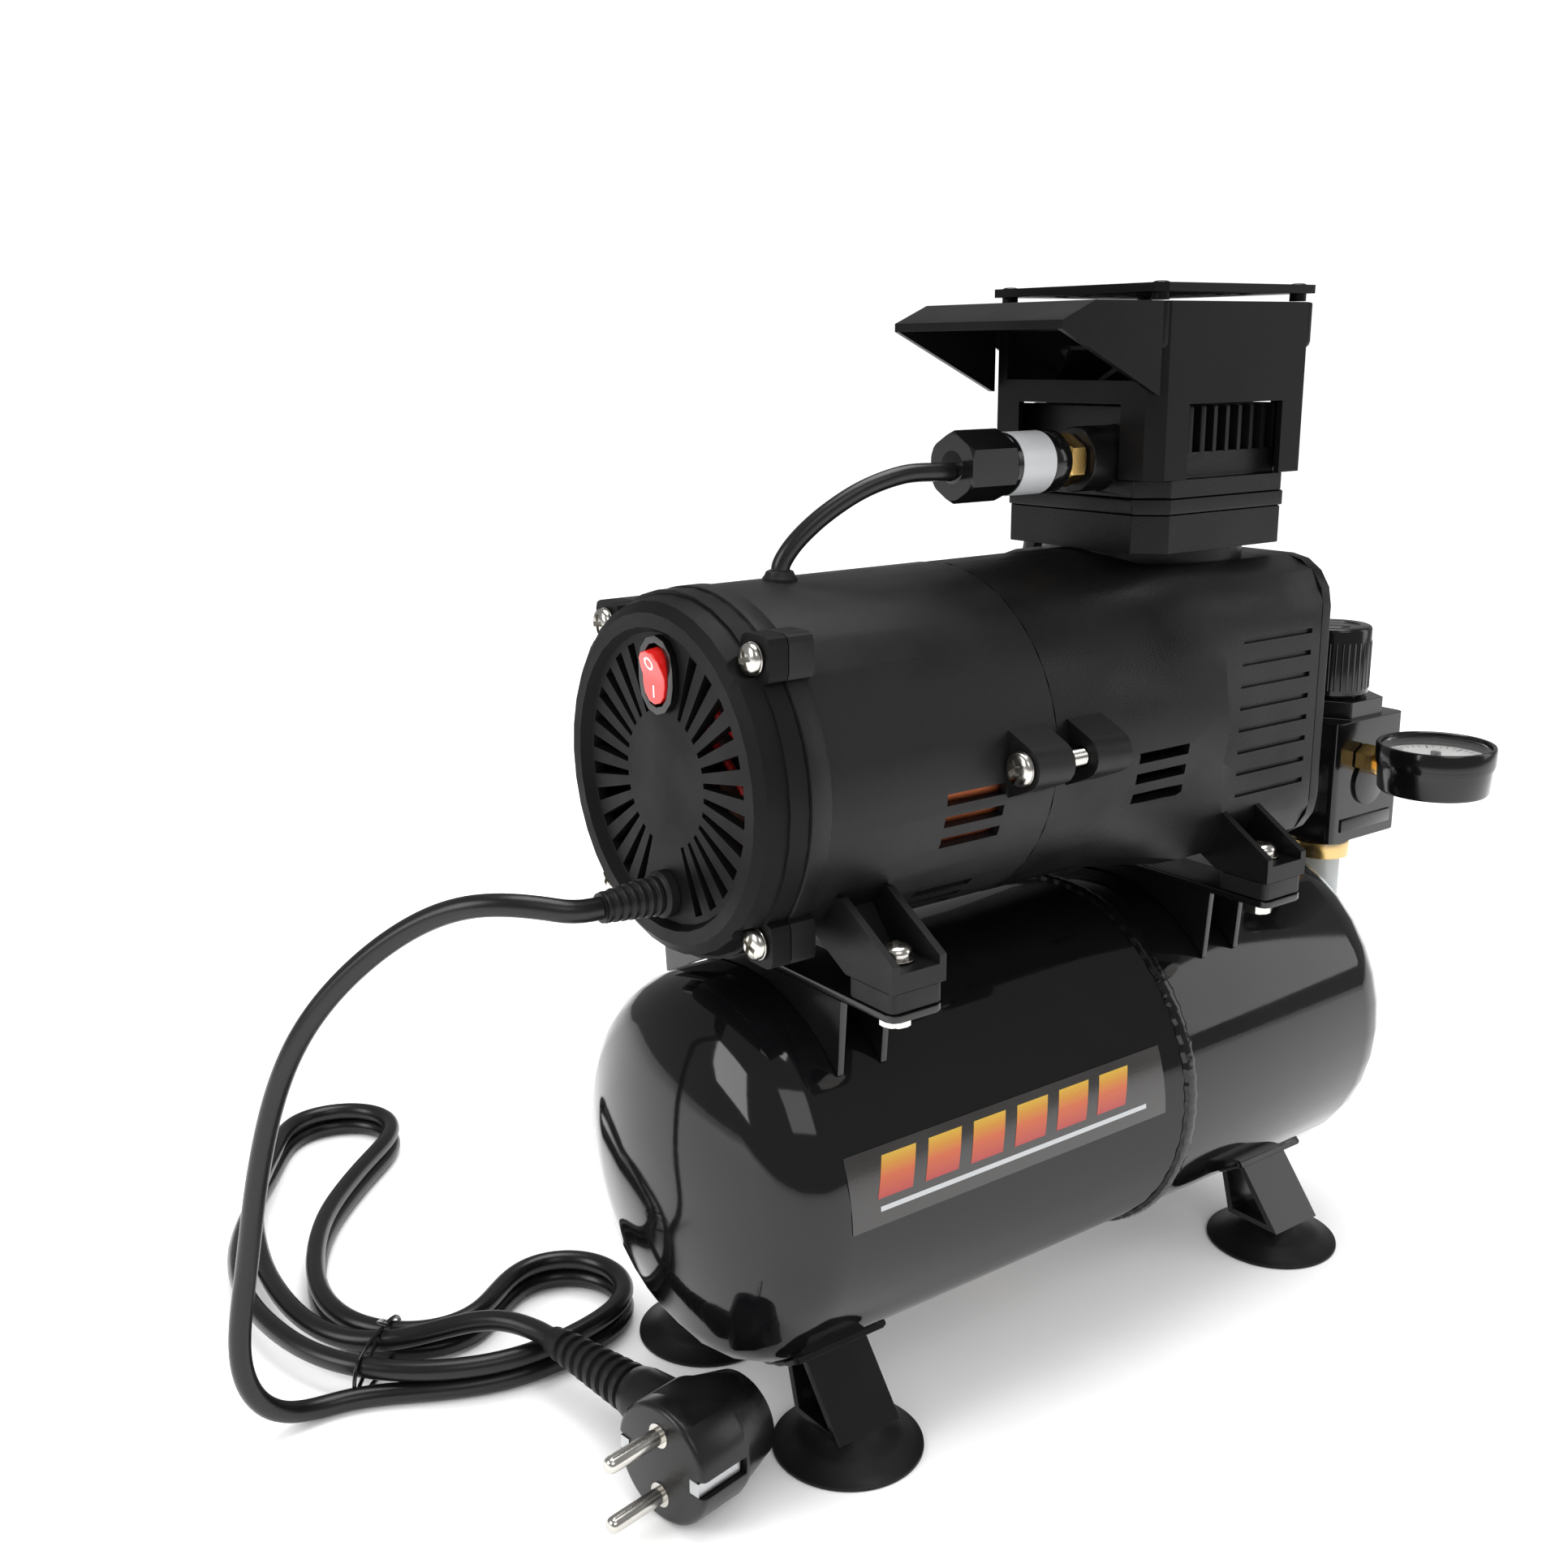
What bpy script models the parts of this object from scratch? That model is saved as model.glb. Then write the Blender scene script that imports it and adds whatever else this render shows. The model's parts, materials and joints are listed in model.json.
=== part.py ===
"""Airbrush compressor: a small piston compressor bolted on a three litre air tank.

X runs from the switch end to the regulator end, -Y is the side with the near clamp screw,
+Z is up. The origin is the middle of the base. The pieces are worked out about the tank's
middle, and the last step moves the whole assembly onto the origin.
"""
import math

import bmesh
import bpy
from mathutils import Matrix, Vector

MM = 0.001
GAP = 0.3 * MM            # between two pieces that touch
PLAY = 0.5 * MM           # round a piece that moves
SINK = 1.0 * MM           # how far a cutter or a joined piece runs past a face
WELD_DISTANCE = 0.002 * MM

# Tank
TANK_RADIUS = 60 * MM
TANK_LENGTH = 290 * MM
TANK_WALL = 1.6 * MM
TANK_CLEARANCE = 23 * MM     # under the tank
TANK_AXIS_Z = TANK_RADIUS + TANK_CLEARANCE
CROWN_RADIUS = 120 * MM
KNUCKLE_RADIUS = 22 * MM
WELD_X = 24.6 * MM
BEAD_HEIGHT = 1.2 * MM
BEAD_WIDTH = 4 * MM
DRAIN_X = -6 * MM
DRAIN_BOSS_RADIUS = 6.5 * MM
DRAIN_BOSS_HEIGHT = 3.5 * MM
DRAIN_HEAD_RADIUS = 4.6 * MM
DRAIN_HEAD_HEIGHT = 4 * MM
DRAIN_STEM_RADIUS = 2.5 * MM
DRAIN_STEM_LENGTH = 2.6 * MM

# Feet
FOOT_X = TANK_LENGTH / 2 - 45.5 * MM
FOOT_Y = 38 * MM
FOOT_RADIUS = 23 * MM
FOOT_HEIGHT = 9.2 * MM
CUP_RIM_HEIGHT = 1.2 * MM
CUP_HOLLOW = 3 * MM
CUP_SHOULDER = (15 * MM, 4.6 * MM)
CUP_NECK = (9.5 * MM, 7.4 * MM)
CUP_TOP_RADIUS = 8 * MM
STRAP_WIDTH = 23 * MM
STRAP_THICKNESS = 2.2 * MM
STRAP_HALF_BASE = 10.8 * MM
STRAP_OUTER_TOP = 9.6 * MM   # legs' upper ends, towards the middle from the foot's stud
STRAP_INNER_TOP = 15.5 * MM
PAD_WIDTH = 32 * MM
PAD_THICKNESS = 2 * MM
PAD_ARC = (-125, -97)        # degrees round the tank
PAD_STEPS = 6
STRAP_OUTER_RISE = 12 * MM   # ends of the strap's legs above the tank's bottom
STRAP_INNER_RISE = 4 * MM
STUD_RADIUS = 2.5 * MM
STUD_NUT_RADIUS = 3.8 * MM
STUD_NUT_HEIGHT = 2 * MM

# Motor
MOTOR_RISE = 61.5 * MM       # motor's axis above the tank's crown
MOTOR_AXIS_Z = TANK_AXIS_Z + TANK_RADIUS + MOTOR_RISE
BARREL_RADIUS = 52 * MM
BARREL_WALL = 2.5 * MM
COVER_BACK_X = -123 * MM
COVER_FLANGE_THICKNESS = 6 * MM
COVER_FACE_X = -134 * MM
COVER_FACE_RADIUS = BARREL_RADIUS - 11 * MM
COVER_WALL = 3 * MM
RING_RISE = 2.6 * MM
RING_WIDTH = 4 * MM
COVER_RIM_WIDTH = 6 * MM
SHELL_SPLIT_X = -34 * MM
BARREL_END_X = 41 * MM
CASE_END_X = 88 * MM
CASE_COVER_THICKNESS = 6.7 * MM
CASE_COVER_EDGE = 2.5 * MM
SPIGOT_DEPTH = 4 * MM
CASE_HALF_WIDTH = BARREL_RADIUS - 3 * MM
CASE_HALF_HEIGHT = BARREL_RADIUS - 4 * MM
CASE_CORNER = 16 * MM
CASE_BORE = BARREL_RADIUS - 7 * MM
CASE_SHOULDERS = ((-8 * MM, 0), (14 * MM, 0.55), (30 * MM, 1))   # place on X and share of the square shape
CASE_STEP = 1.5 * MM
BULKHEAD_X = 18 * MM
BULKHEAD_THICKNESS = 8 * MM
BEARING_RADIUS = 4 * MM
SHAFT_PLAY = 0.1 * MM
EAR_Y = BARREL_RADIUS - 15 * MM
EAR_Z = BARREL_RADIUS - 13.5 * MM
EAR_HALF = 6.3 * MM
EAR_ROOT = BARREL_RADIUS / 2
EAR_DEPTH = 8 * MM
SCREW_RADIUS = 2 * MM
SCREW_HEAD_RADIUS = 4.3 * MM
SCREW_HEAD_HEIGHT = 3 * MM
SLOT_COUNT = 30
SLOT_SKIP = 22              # degrees each side of the switch and of the gland
SLOT_SKIP_MIDDLE = 90
SLOT_INNER = 19.5 * MM
SLOT_OUTER = COVER_FACE_RADIUS - 2 * MM
SLOT_INNER_HALF = 0.75 * MM
SLOT_OUTER_HALF = 1.9 * MM
LUG_Y = BARREL_RADIUS + 5 * MM
LUG_Z = 1.5 * MM
LUG_LENGTH = 14 * MM
LUG_GAP = 9 * MM
LUG_HALF_HEIGHT = 6.5 * MM
CLAMP_SCREW_RADIUS = 2.6 * MM
CLAMP_HEAD_RADIUS = 5 * MM
VENT_LENGTH = 22 * MM
VENT_HEIGHT = 3.4 * MM
VENT_PITCH = 7.4           # degrees round the barrel
VENT_STARTS = (5.5, 44.0)    # degrees below the barrel's middle, of the upper and lower sets
VENT_DEPTH = 6 * MM
SHELL_VENT_X = -64.5 * MM
CASE_VENT_X = 12 * MM
GROOVE_COUNT = 8
GROOVE_DEPTH = 1.1 * MM
GROOVE_HEIGHT = 1.6 * MM
GROOVE_LENGTH = 34 * MM

# Motor legs, isolators and cross plates
LEG_REAR_X = -99 * MM
LEG_FRONT_X = 53 * MM
LEG_WIDTH = 18.6 * MM
LEG_RIB = 2.4 * MM
BOLT_Y = 58 * MM
LEG_REACH = 10 * MM
LEG_BASE = 5.3 * MM
LEG_ROOT_Y = BARREL_RADIUS - 18 * MM
LEG_ROOT_LOW = 8 * MM        # heights above the leg's foot
LEG_ROOT_HIGH = 20 * MM
LEG_KNEE_Y = 46 * MM
LEG_KNEE_HEIGHT = 21 * MM
LEG_CHANNEL_Y = 38 * MM
LEG_CHANNEL_HEIGHT = 17 * MM
ISOLATOR_HEIGHT = 5.6 * MM
PLATE_THICKNESS = 2.3 * MM
PLATE_RISE = 4.2 * MM      # cross plate above the tank's crown
WEB_INSET = 12 * MM
WEB_FOOT_SHARE = 0.72
WEB_FOOT_DROP = 30 * MM      # from the tank's crown
BOLT_RADIUS = 2.5 * MM
BOLT_HEAD_RADIUS = 5.6 * MM
BOLT_HEAD_HEIGHT = 4.2 * MM
NUT_RADIUS = 5 * MM
NUT_HEIGHT = 4.4 * MM

# Power switch and gland
SWITCH_Z = COVER_FACE_RADIUS - 11.5 * MM     # above the motor's axis
ROCKER_HALF_WIDTH = 5.5 * MM
ROCKER_HALF_HEIGHT = 7.7 * MM
ROCKER_RISE = 3.4 * MM
ROCKER_DIP = 1.2 * MM
ROCKER_DEPTH = 1.2 * MM
ROCKER_TILT = 10           # degrees, lower half proud at rest
BEZEL_RIM = 2.1 * MM
BEZEL_THICKNESS = 1.8 * MM
BEZEL_DEPTH = 12 * MM
GLAND_Z = 8 * MM - COVER_FACE_RADIUS
GLAND_RADIUS = 6.8 * MM
GLAND_LENGTH = 22 * MM
CORD_RADIUS = 3.3 * MM

# Crank and piston
STATOR_LENGTH = 52 * MM
STATOR_X = -72 * MM
ARMATURE_RADIUS = BARREL_RADIUS - 22 * MM
COIL_LENGTH = 6 * MM
BLOWER_X = 14 * MM           # cooling disc, past the armature's end
BLOWER_THICKNESS = 3 * MM
BLOWER_INSET = 12 * MM
AIR_GAP = 0.6 * MM
CRANK_DISC_X = 30 * MM
CRANK_DISC_THICKNESS = 8 * MM
CRANK_DISC_RADIUS = 17 * MM
CRANK_THROW = 6 * MM
CRANK_PIN_RADIUS = 4 * MM
ROD_THICKNESS = 8 * MM
ROD_EYE_RADIUS = 9 * MM
ROD_HALF_WIDTH = 5 * MM
PISTON_RADIUS = 17.6 * MM
PISTON_HEIGHT = 10 * MM
SLEEVE_WALL = 3.5 * MM
PISTON_TOP_GAP = 1.5 * MM

# Head and shroud
HEAD_X = 55 * MM
NECK_RADIUS = 32.5 * MM
NECK_TOP_Z = MOTOR_AXIS_Z + 52.1 * MM
NECK_DEPTH = 16.1 * MM
FLANGE_HALF = 34.5 * MM
FLANGE_CHAMFER = 8 * MM
FLANGE_HEIGHT = 11.7 * MM
VALVE_PLATE_HEIGHT = 4.6 * MM
HEAD_BASE_HEIGHT = 5.4 * MM
FIN_COUNT = 10
FIN_PITCH = 5.8 * MM
FIN_THICKNESS = 2.2 * MM
FIN_HEIGHT = 22 * MM
FIN_ROOT = 8 * MM
FIN_HALF_LENGTH = 31 * MM
SHROUD_HALF = 36.5 * MM
SHROUD_WALL = 2 * MM
SHROUD_HEIGHT = 52.5 * MM
SHROUD_CHAMFER = 4.5 * MM
WINDOW_HEIGHT = 22.5 * MM
WINDOW_HALF = 22 * MM
HOOD_WINDOW_HALF = 28 * MM
HOOD_WINDOW_LOW = 23 * MM    # below the shroud's top
HOOD_WINDOW_HIGH = 8 * MM
FAN_HOLE_RADIUS = 32.5 * MM
HOOD_REACH = 40.5 * MM
HOOD_FLAT = 27.5 * MM
HOOD_DROP = 5.5 * MM
HOOD_SKIN = 2.5 * MM
CHEEK_HEIGHT = 27 * MM
GUARD_HALF = 37 * MM
GUARD_THICKNESS = 2.6 * MM
GUARD_GAP = 2.6 * MM
GUARD_POST_RADIUS = 2.6 * MM
GUARD_POST_INSET = 5 * MM
GUARD_RINGS = 4
GUARD_RING_START = 5.5 * MM
GUARD_SPOKE_HALF = 1.6 * MM
GUARD_RING_PITCH = 7.2 * MM
GUARD_RING_SLOT = 4.6 * MM
FAN_RADIUS = 31 * MM
FAN_HUB_RADIUS = 13 * MM
FAN_HEIGHT = 14 * MM
FAN_BLADES = 7
FAN_BLADE_THICKNESS = 1.4 * MM
FAN_PITCH = 35             # degrees
STRUT_WIDTH = 4 * MM
STRUT_HEIGHT = 2.4 * MM

# Pressure switch and its lead
SWITCH_Y = -11 * MM
SWITCH_AXIS_RISE = 6.2 * MM   # above the top of the head's base
BOSS_RADIUS = 10 * MM
BOSS_X = 9.6 * MM
SENSOR_RADIUS = 9.4 * MM
SENSOR_LENGTH = 49 * MM
SENSOR_HEX_RADIUS = 8.2 * MM
SENSOR_HEX_LENGTH = 6 * MM
SENSOR_CAP_LENGTH = 18 * MM
LEAD_RADIUS = 2.7 * MM
LEAD_DROP_X = -94 * MM

# Regulator
REG_X = TANK_LENGTH / 2 + 19.5 * MM
REG_HALF_X = 20.5 * MM
REG_HALF_Y = 19 * MM
REG_BOTTOM_Z = TANK_AXIS_Z + TANK_RADIUS - 5 * MM
REG_HEIGHT = 46 * MM
RING_NUT_RADIUS = 19 * MM
RING_NUT_HEIGHT = 6.5 * MM
COLLAR_RADIUS = 10.4 * MM
COLLAR_HEIGHT = 6 * MM
PORT_Z = REG_BOTTOM_Z + 27 * MM
PORT_DEPTH = 7 * MM
SOCKET_DEPTH = 10 * MM
KNOB_RADIUS = 13.4 * MM
KNOB_HEIGHT = 25.5 * MM
KNOB_WALL = 2.2 * MM
SPINDLE_RADIUS = 3.5 * MM
SPINDLE_HEAD_RADIUS = 7.5 * MM
SPINDLE_HEAD_HEIGHT = 7 * MM
SPINDLE_DEPTH = 22 * MM
BOWL_RADIUS = 18 * MM
BOWL_WALL = 2 * MM
BOWL_HEIGHT = 56 * MM
DRAIN_PIN_RADIUS = 2.6 * MM
DRAIN_BUTTON_RADIUS = 5 * MM
DRAIN_BUTTON_HEIGHT = 4 * MM
DRAIN_TRAVEL = 2.5 * MM
GAUGE_X = REG_X - 4.5 * MM
GAUGE_Y = -49 * MM
GAUGE_RADIUS = 20.5 * MM
GAUGE_BOTTOM_Z = PORT_Z - 2 * MM
GAUGE_HEIGHT = 17.5 * MM
GAUGE_WALL = 1.7 * MM
DIAL_DEPTH = 6 * MM
LENS_THICKNESS = 1.5 * MM
LENS_INSET = 1.2 * MM
NEEDLE_LENGTH = 14 * MM
NEEDLE_THICKNESS = 0.8 * MM
NEEDLE_TAIL = 4 * MM
NEEDLE_REST = -135           # degrees from +X, the needle's zero
STEM_RADIUS = 4.6 * MM
NIPPLE_LENGTH = 12 * MM
NIPPLE_RADIUS = 4.8 * MM
NIPPLE_BORE = 2.4 * MM
NIPPLE_HEX_RADIUS = 7 * MM
NIPPLE_HEX_LENGTH = 4 * MM
PIPE_RADIUS = 4 * MM
SUPPLY_X = TANK_LENGTH / 2 - 27 * MM
DELIVERY_X = 75 * MM
DELIVERY_Y = 72 * MM
DELIVERY_ANGLE = 45        # degrees round the tank from its crown

# Mains plug
PLUG_DISC_RADIUS = 18 * MM
PLUG_BODY_DEPTH = 33 * MM
PLUG_BOSS_DEPTH = 18 * MM
PLUG_REACH = 70 * MM       # from the disc's axis to the tip of the strain relief
PIN_RADIUS = 2.4 * MM
PIN_LENGTH = 19 * MM
PIN_SPACING = 19 * MM
PLUG_YAW = 10              # degrees
PLUG_TIP = (-12.6, 38.0)     # from the tank's back end
PLUG_RELIEF_RADIUS = 9.5 * MM

# Route of the mains cord in millimetres, chosen by hand. The first points are from the gland's tip,
# the others are from the tank's back end along X and from the floor up.
CORD_START = ((-0.4, 0.0, 0.0), (-3.0, 0.0, 0.0), (-8.5, 1.4, 1.3), (-15.0, 5.4, 2.9), (-22.5, 12.5, 3.1))
CORD_FALL = (
    (-44.0, 24.0, 171.0), (-55.0, 36.0, 162.5), (-64.5, 46.0, 151.5), (-73.5, 54.0, 138.5),
    (-81.0, 59.5, 123.5), (-87.0, 63.0, 105.0), (-92.0, 65.0, 84.0), (-96.0, 66.0, 62.0),
    (-99.6, 66.4, 42.0), (-100.4, 66.6, 30.5), (-97.6, 67.0, 18.5), (-90.6, 67.8, 8.9),
    (-81.4, 69.0, 4.3), (-73.6, 70.2, 3.5),
)
CORD_SAMPLES = 3           # points for each stretch between two route points

# Tied bundle of cord lying beside the tank: a bent strip with a round loop at each end,
# its points in millimetres from the tank's back end
BUNDLE_ENDS = ((-7.0, 232.0), (8.0, 72.0))
BUNDLE_MIDDLE = (-58.5, 72.5)
BUNDLE_END_STEPS = 10
BUNDLE_LOOP_RADIUS = 22 * MM
BUNDLE_WAIST = 14 * MM
BUNDLE_HEIGHT = 20 * MM
BUNDLE_STEPS = 16

COLLAR_SIDES = 16
ROUND_SIDES = 24
BIG_SIDES = 36
SMALL_SIDES = 12
HEX_SIDES = 6
STADIUM_STEPS = 6


# ---------------------------------------------------------------- materials

def look(name, colour, roughness, metallic=0.0, alpha=1.0):
    """Return the named Principled material, made once."""
    material = bpy.data.materials.get(name)
    if material is None:
        material = bpy.data.materials.new(name)
        material.use_nodes = True
        shader = material.node_tree.nodes["Principled BSDF"]
        shader.inputs["Base Color"].default_value = (*colour, 1.0)
        shader.inputs["Roughness"].default_value = roughness
        shader.inputs["Metallic"].default_value = metallic
        shader.inputs["Alpha"].default_value = alpha
        material.diffuse_color = (*colour, alpha)
    return material


def gloss_black_paint():
    return look("gloss_black_paint", (0.006, 0.006, 0.007), 0.12)


def satin_black_paint():
    return look("satin_black_paint", (0.015, 0.015, 0.016), 0.42)


def black_plastic():
    return look("black_plastic", (0.012, 0.012, 0.013), 0.45)


def shiny_plastic():
    return look("shiny_plastic", (0.008, 0.008, 0.009), 0.2)


def black_rubber():
    return look("black_rubber", (0.012, 0.012, 0.012), 0.7)


def red_plastic():
    return look("red_plastic", (0.6, 0.01, 0.012), 0.25)


def nickel():
    return look("nickel", (0.72, 0.69, 0.63), 0.25, 1.0)


def dark_steel():
    return look("dark_steel", (0.2, 0.2, 0.21), 0.4, 1.0)


def brass():
    return look("brass", (0.78, 0.53, 0.2), 0.3, 1.0)


def copper_windings():
    return look("copper_windings", (0.45, 0.16, 0.07), 0.4, 0.8)


def clear_plastic():
    return look("clear_plastic", (0.85, 0.87, 0.86), 0.1, 0.0, 0.35)


def aluminium():
    return look("aluminium", (0.6, 0.6, 0.6), 0.45, 1.0)


# ---------------------------------------------------------------- shapes

AXIS_TURN = {
    "Z": Matrix.Identity(4),
    "X": Matrix(((0, 0, 1, 0), (1, 0, 0, 0), (0, 1, 0, 0), (0, 0, 0, 1))),
    "Y": Matrix(((0, 1, 0, 0), (0, 0, 1, 0), (1, 0, 0, 0), (0, 0, 0, 1))),
}


def arc(centre, radius, start, end, steps):
    """Points on an arc in a plane, angles in degrees, both ends included."""
    points = []
    for step in range(steps + 1):
        angle = math.radians(start + (end - start) * step / steps)
        points.append((centre[0] + radius * math.cos(angle), centre[1] + radius * math.sin(angle)))
    return points


def shifted(outline, along, across):
    return [(u + along, v + across) for u, v in outline]


def rounded_rectangle(half_u, half_v, corner, steps=4):
    outline = []
    for quarter, (side_u, side_v) in enumerate(((1, 1), (-1, 1), (-1, -1), (1, -1))):
        centre = (side_u * (half_u - corner), side_v * (half_v - corner))
        outline += arc(centre, corner, 90 * quarter, 90 * quarter + 90, steps)
    return outline


def chamfered_square(half, chamfer):
    return rounded_rectangle(half, half, chamfer, 1)


def stadium(half_u, half_v):
    """A slot outline whose long way is v, with half-round ends."""
    top = arc((0, half_v - half_u), half_u, 0, 180, STADIUM_STEPS)
    bottom = arc((0, half_u - half_v), half_u, 180, 360, STADIUM_STEPS)
    return top + bottom


def strip(line, thickness):
    """Outline of a bent strip: a line of points and the same line moved to its left."""
    headings = [(Vector(end) - Vector(start)).normalized() for start, end in zip(line, line[1:])]
    normals = [Vector((-heading.y, heading.x)) for heading in headings]
    inside = []
    for index, point in enumerate(line):
        before = normals[max(index - 1, 0)]
        after = normals[min(index, len(normals) - 1)]
        offset = (before + after) / (1 + before.dot(after)) * thickness
        inside.append(tuple(Vector(point) + offset))
    return list(line) + inside[::-1]


def extrude(outline, axis, low, high):
    """A prism of an outline. The outline's plane is (Y, Z) for X, (Z, X) for Y and (X, Y) for Z."""
    shape = bmesh.new()
    base = [shape.verts.new((u, v, low)) for u, v in outline]
    face = shape.faces.new(base)
    grown = bmesh.ops.extrude_face_region(shape, geom=[face])
    moved = [item for item in grown["geom"] if isinstance(item, bmesh.types.BMVert)]
    bmesh.ops.translate(shape, verts=moved, vec=(0, 0, high - low))
    bmesh.ops.transform(shape, matrix=AXIS_TURN[axis], verts=shape.verts)
    bmesh.ops.recalc_face_normals(shape, faces=shape.faces)
    return shape


def turn(profile, axis="Z", sides=ROUND_SIDES, centre=(0, 0, 0)):
    """A solid of revolution. The profile is (radius, height) and may start and end on the axis."""
    shape = bmesh.new()
    verts = [shape.verts.new((radius, 0, height)) for radius, height in profile]
    edges = [shape.edges.new(pair) for pair in zip(verts, verts[1:])]
    if profile[0][0] > 0 or profile[-1][0] > 0:
        edges.append(shape.edges.new((verts[-1], verts[0])))
    bmesh.ops.spin(shape, geom=verts + edges, axis=(0, 0, 1), cent=(0, 0, 0),
                   angle=math.tau, steps=sides, use_merge=True)
    bmesh.ops.remove_doubles(shape, verts=shape.verts, dist=MM / 1000)
    bmesh.ops.transform(shape, matrix=Matrix.Translation(centre) @ AXIS_TURN[axis], verts=shape.verts)
    bmesh.ops.recalc_face_normals(shape, faces=shape.faces)
    return shape


def disc(radius, axis, low, high, centre=(0, 0, 0), sides=ROUND_SIDES):
    """A round bar along an axis through the centre point, from low to high along that axis."""
    return turn([(0, low), (radius, low), (radius, high), (0, high)], axis, sides, centre)


def hexagon(radius, axis, low, high, centre=(0, 0, 0)):
    return turn([(0, low), (radius, low), (radius, high), (0, high)], axis, HEX_SIDES, centre)


def block(low, high):
    shape = bmesh.new()
    bmesh.ops.create_cube(shape, size=1)
    low, high = Vector(low), Vector(high)
    size = high - low
    place = Matrix.Translation((low + high) / 2) @ Matrix.Diagonal((*size, 1))
    bmesh.ops.transform(shape, matrix=place, verts=shape.verts)
    return shape


def moved(shape, matrix):
    bmesh.ops.transform(shape, matrix=matrix, verts=shape.verts)
    bmesh.ops.recalc_face_normals(shape, faces=shape.faces)
    return shape


def at(shape, x=0.0, y=0.0, z=0.0):
    return moved(shape, Matrix.Translation((x, y, z)))


def mirrored_y(shape):
    bmesh.ops.transform(shape, matrix=Matrix.Scale(-1, 4, (0, 1, 0)), verts=shape.verts)
    bmesh.ops.reverse_faces(shape, faces=shape.faces)
    return shape


def together(shapes):
    """Several shapes in one mesh, for cutters that stay apart from each other."""
    mesh = bpy.data.meshes.new("together")
    result = bmesh.new()
    for shape in shapes:
        shape.to_mesh(mesh)
        shape.free()
        result.from_mesh(mesh)
    bpy.data.meshes.remove(mesh)
    return result


def scratch_object(shape):
    mesh = bpy.data.meshes.new("scratch")
    shape.to_mesh(mesh)
    shape.free()
    thing = bpy.data.objects.new("scratch", mesh)
    bpy.context.collection.objects.link(thing)
    return thing


def combine(base, tool, operation):
    """Join, cut or intersect two shapes with Blender's exact Boolean."""
    base_object = scratch_object(base)
    tool_object = scratch_object(tool)
    modifier = base_object.modifiers.new("combine", "BOOLEAN")
    modifier.operation = operation
    modifier.object = tool_object
    modifier.solver = "EXACT"
    graph = bpy.context.evaluated_depsgraph_get()
    result = bmesh.new()
    result.from_mesh(base_object.evaluated_get(graph).to_mesh())
    bmesh.ops.remove_doubles(result, verts=result.verts, dist=WELD_DISTANCE)
    bmesh.ops.dissolve_degenerate(result, edges=result.edges, dist=WELD_DISTANCE)
    for thing in (base_object, tool_object):
        mesh = thing.data
        bpy.data.objects.remove(thing)
        bpy.data.meshes.remove(mesh)
    return result


def cut(base, *tools):
    return combine(base, together(tools), "DIFFERENCE")


def join(base, *tools):
    for tool in tools:
        base = combine(base, tool, "UNION")
    return base


def part(name, shape, material, origin=(0, 0, 0)):
    """Make the named object from a shape in the assembly's frame, with its origin at a point."""
    bmesh.ops.translate(shape, verts=shape.verts, vec=-Vector(origin))
    mesh = bpy.data.meshes.new(name)
    shape.to_mesh(mesh)
    shape.free()
    mesh.materials.append(material)
    mesh.shade_smooth()
    mesh.set_sharp_from_angle(angle=math.radians(35))
    thing = bpy.data.objects.new(name, mesh)
    thing.location = origin
    bpy.context.collection.objects.link(thing)
    return thing


def smooth_path(points, samples):
    """Points on a Catmull-Rom curve through the given points."""
    points = [Vector(point) for point in points]
    padded = [2 * points[0] - points[1]] + points + [2 * points[-1] - points[-2]]
    path = []
    for before, start, end, after in zip(padded, padded[1:], padded[2:], padded[3:]):
        for sample in range(samples):
            t = sample / samples
            path.append(0.5 * (2 * start + (end - before) * t
                               + (2 * before - 5 * start + 4 * end - after) * t ** 2
                               + (3 * start - before - 3 * end + after) * t ** 3))
    path.append(points[-1])
    return path


def tube(name, points, radius, material, samples, rings=2):
    """A round tube along a smooth curve through the points, with closed ends."""
    path = smooth_path(points, samples)
    curve = bpy.data.curves.new(name, "CURVE")
    curve.dimensions = "3D"
    curve.bevel_depth = radius
    curve.bevel_resolution = rings
    curve.use_fill_caps = True
    spline = curve.splines.new("POLY")
    spline.points.add(len(path) - 1)
    for target, place in zip(spline.points, path):
        target.co = (*place, 1)
    curve.materials.append(material)
    thing = bpy.data.objects.new(name, curve)
    bpy.context.collection.objects.link(thing)
    return thing


# ---------------------------------------------------------------- tank

def tank_half_profile(rim_x, bead):
    """Profile of one tank shell, closed end at +, (radius, height from the tank's middle)."""
    end = TANK_LENGTH / 2
    crown_centre = end - CROWN_RADIUS
    knuckle_r = TANK_RADIUS - KNUCKLE_RADIUS
    knuckle_h = crown_centre + math.sqrt((CROWN_RADIUS - KNUCKLE_RADIUS) ** 2 - knuckle_r ** 2)
    blend = math.degrees(math.atan2(knuckle_h - crown_centre, knuckle_r))
    outer = arc((knuckle_r, knuckle_h), KNUCKLE_RADIUS, 0, blend, 4)
    outer += arc((0, crown_centre), CROWN_RADIUS, blend, 90, 3)[1:]
    inner = arc((knuckle_r, knuckle_h), KNUCKLE_RADIUS - TANK_WALL, 0, blend, 2)
    inner += arc((0, crown_centre), CROWN_RADIUS - TANK_WALL, blend, 90, 2)[1:]
    outer[-1] = (0, outer[-1][1])
    inner[-1] = (0, inner[-1][1])
    rim = [(TANK_RADIUS, rim_x)]
    if bead:
        middle = rim_x + BEAD_WIDTH / 2
        rim = [(TANK_RADIUS + BEAD_HEIGHT, rim_x), (TANK_RADIUS + BEAD_HEIGHT, middle),
               (TANK_RADIUS, rim_x + BEAD_WIDTH)]
    return list(reversed(inner)) + [(TANK_RADIUS - TANK_WALL, rim_x)] + rim + outer


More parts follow.
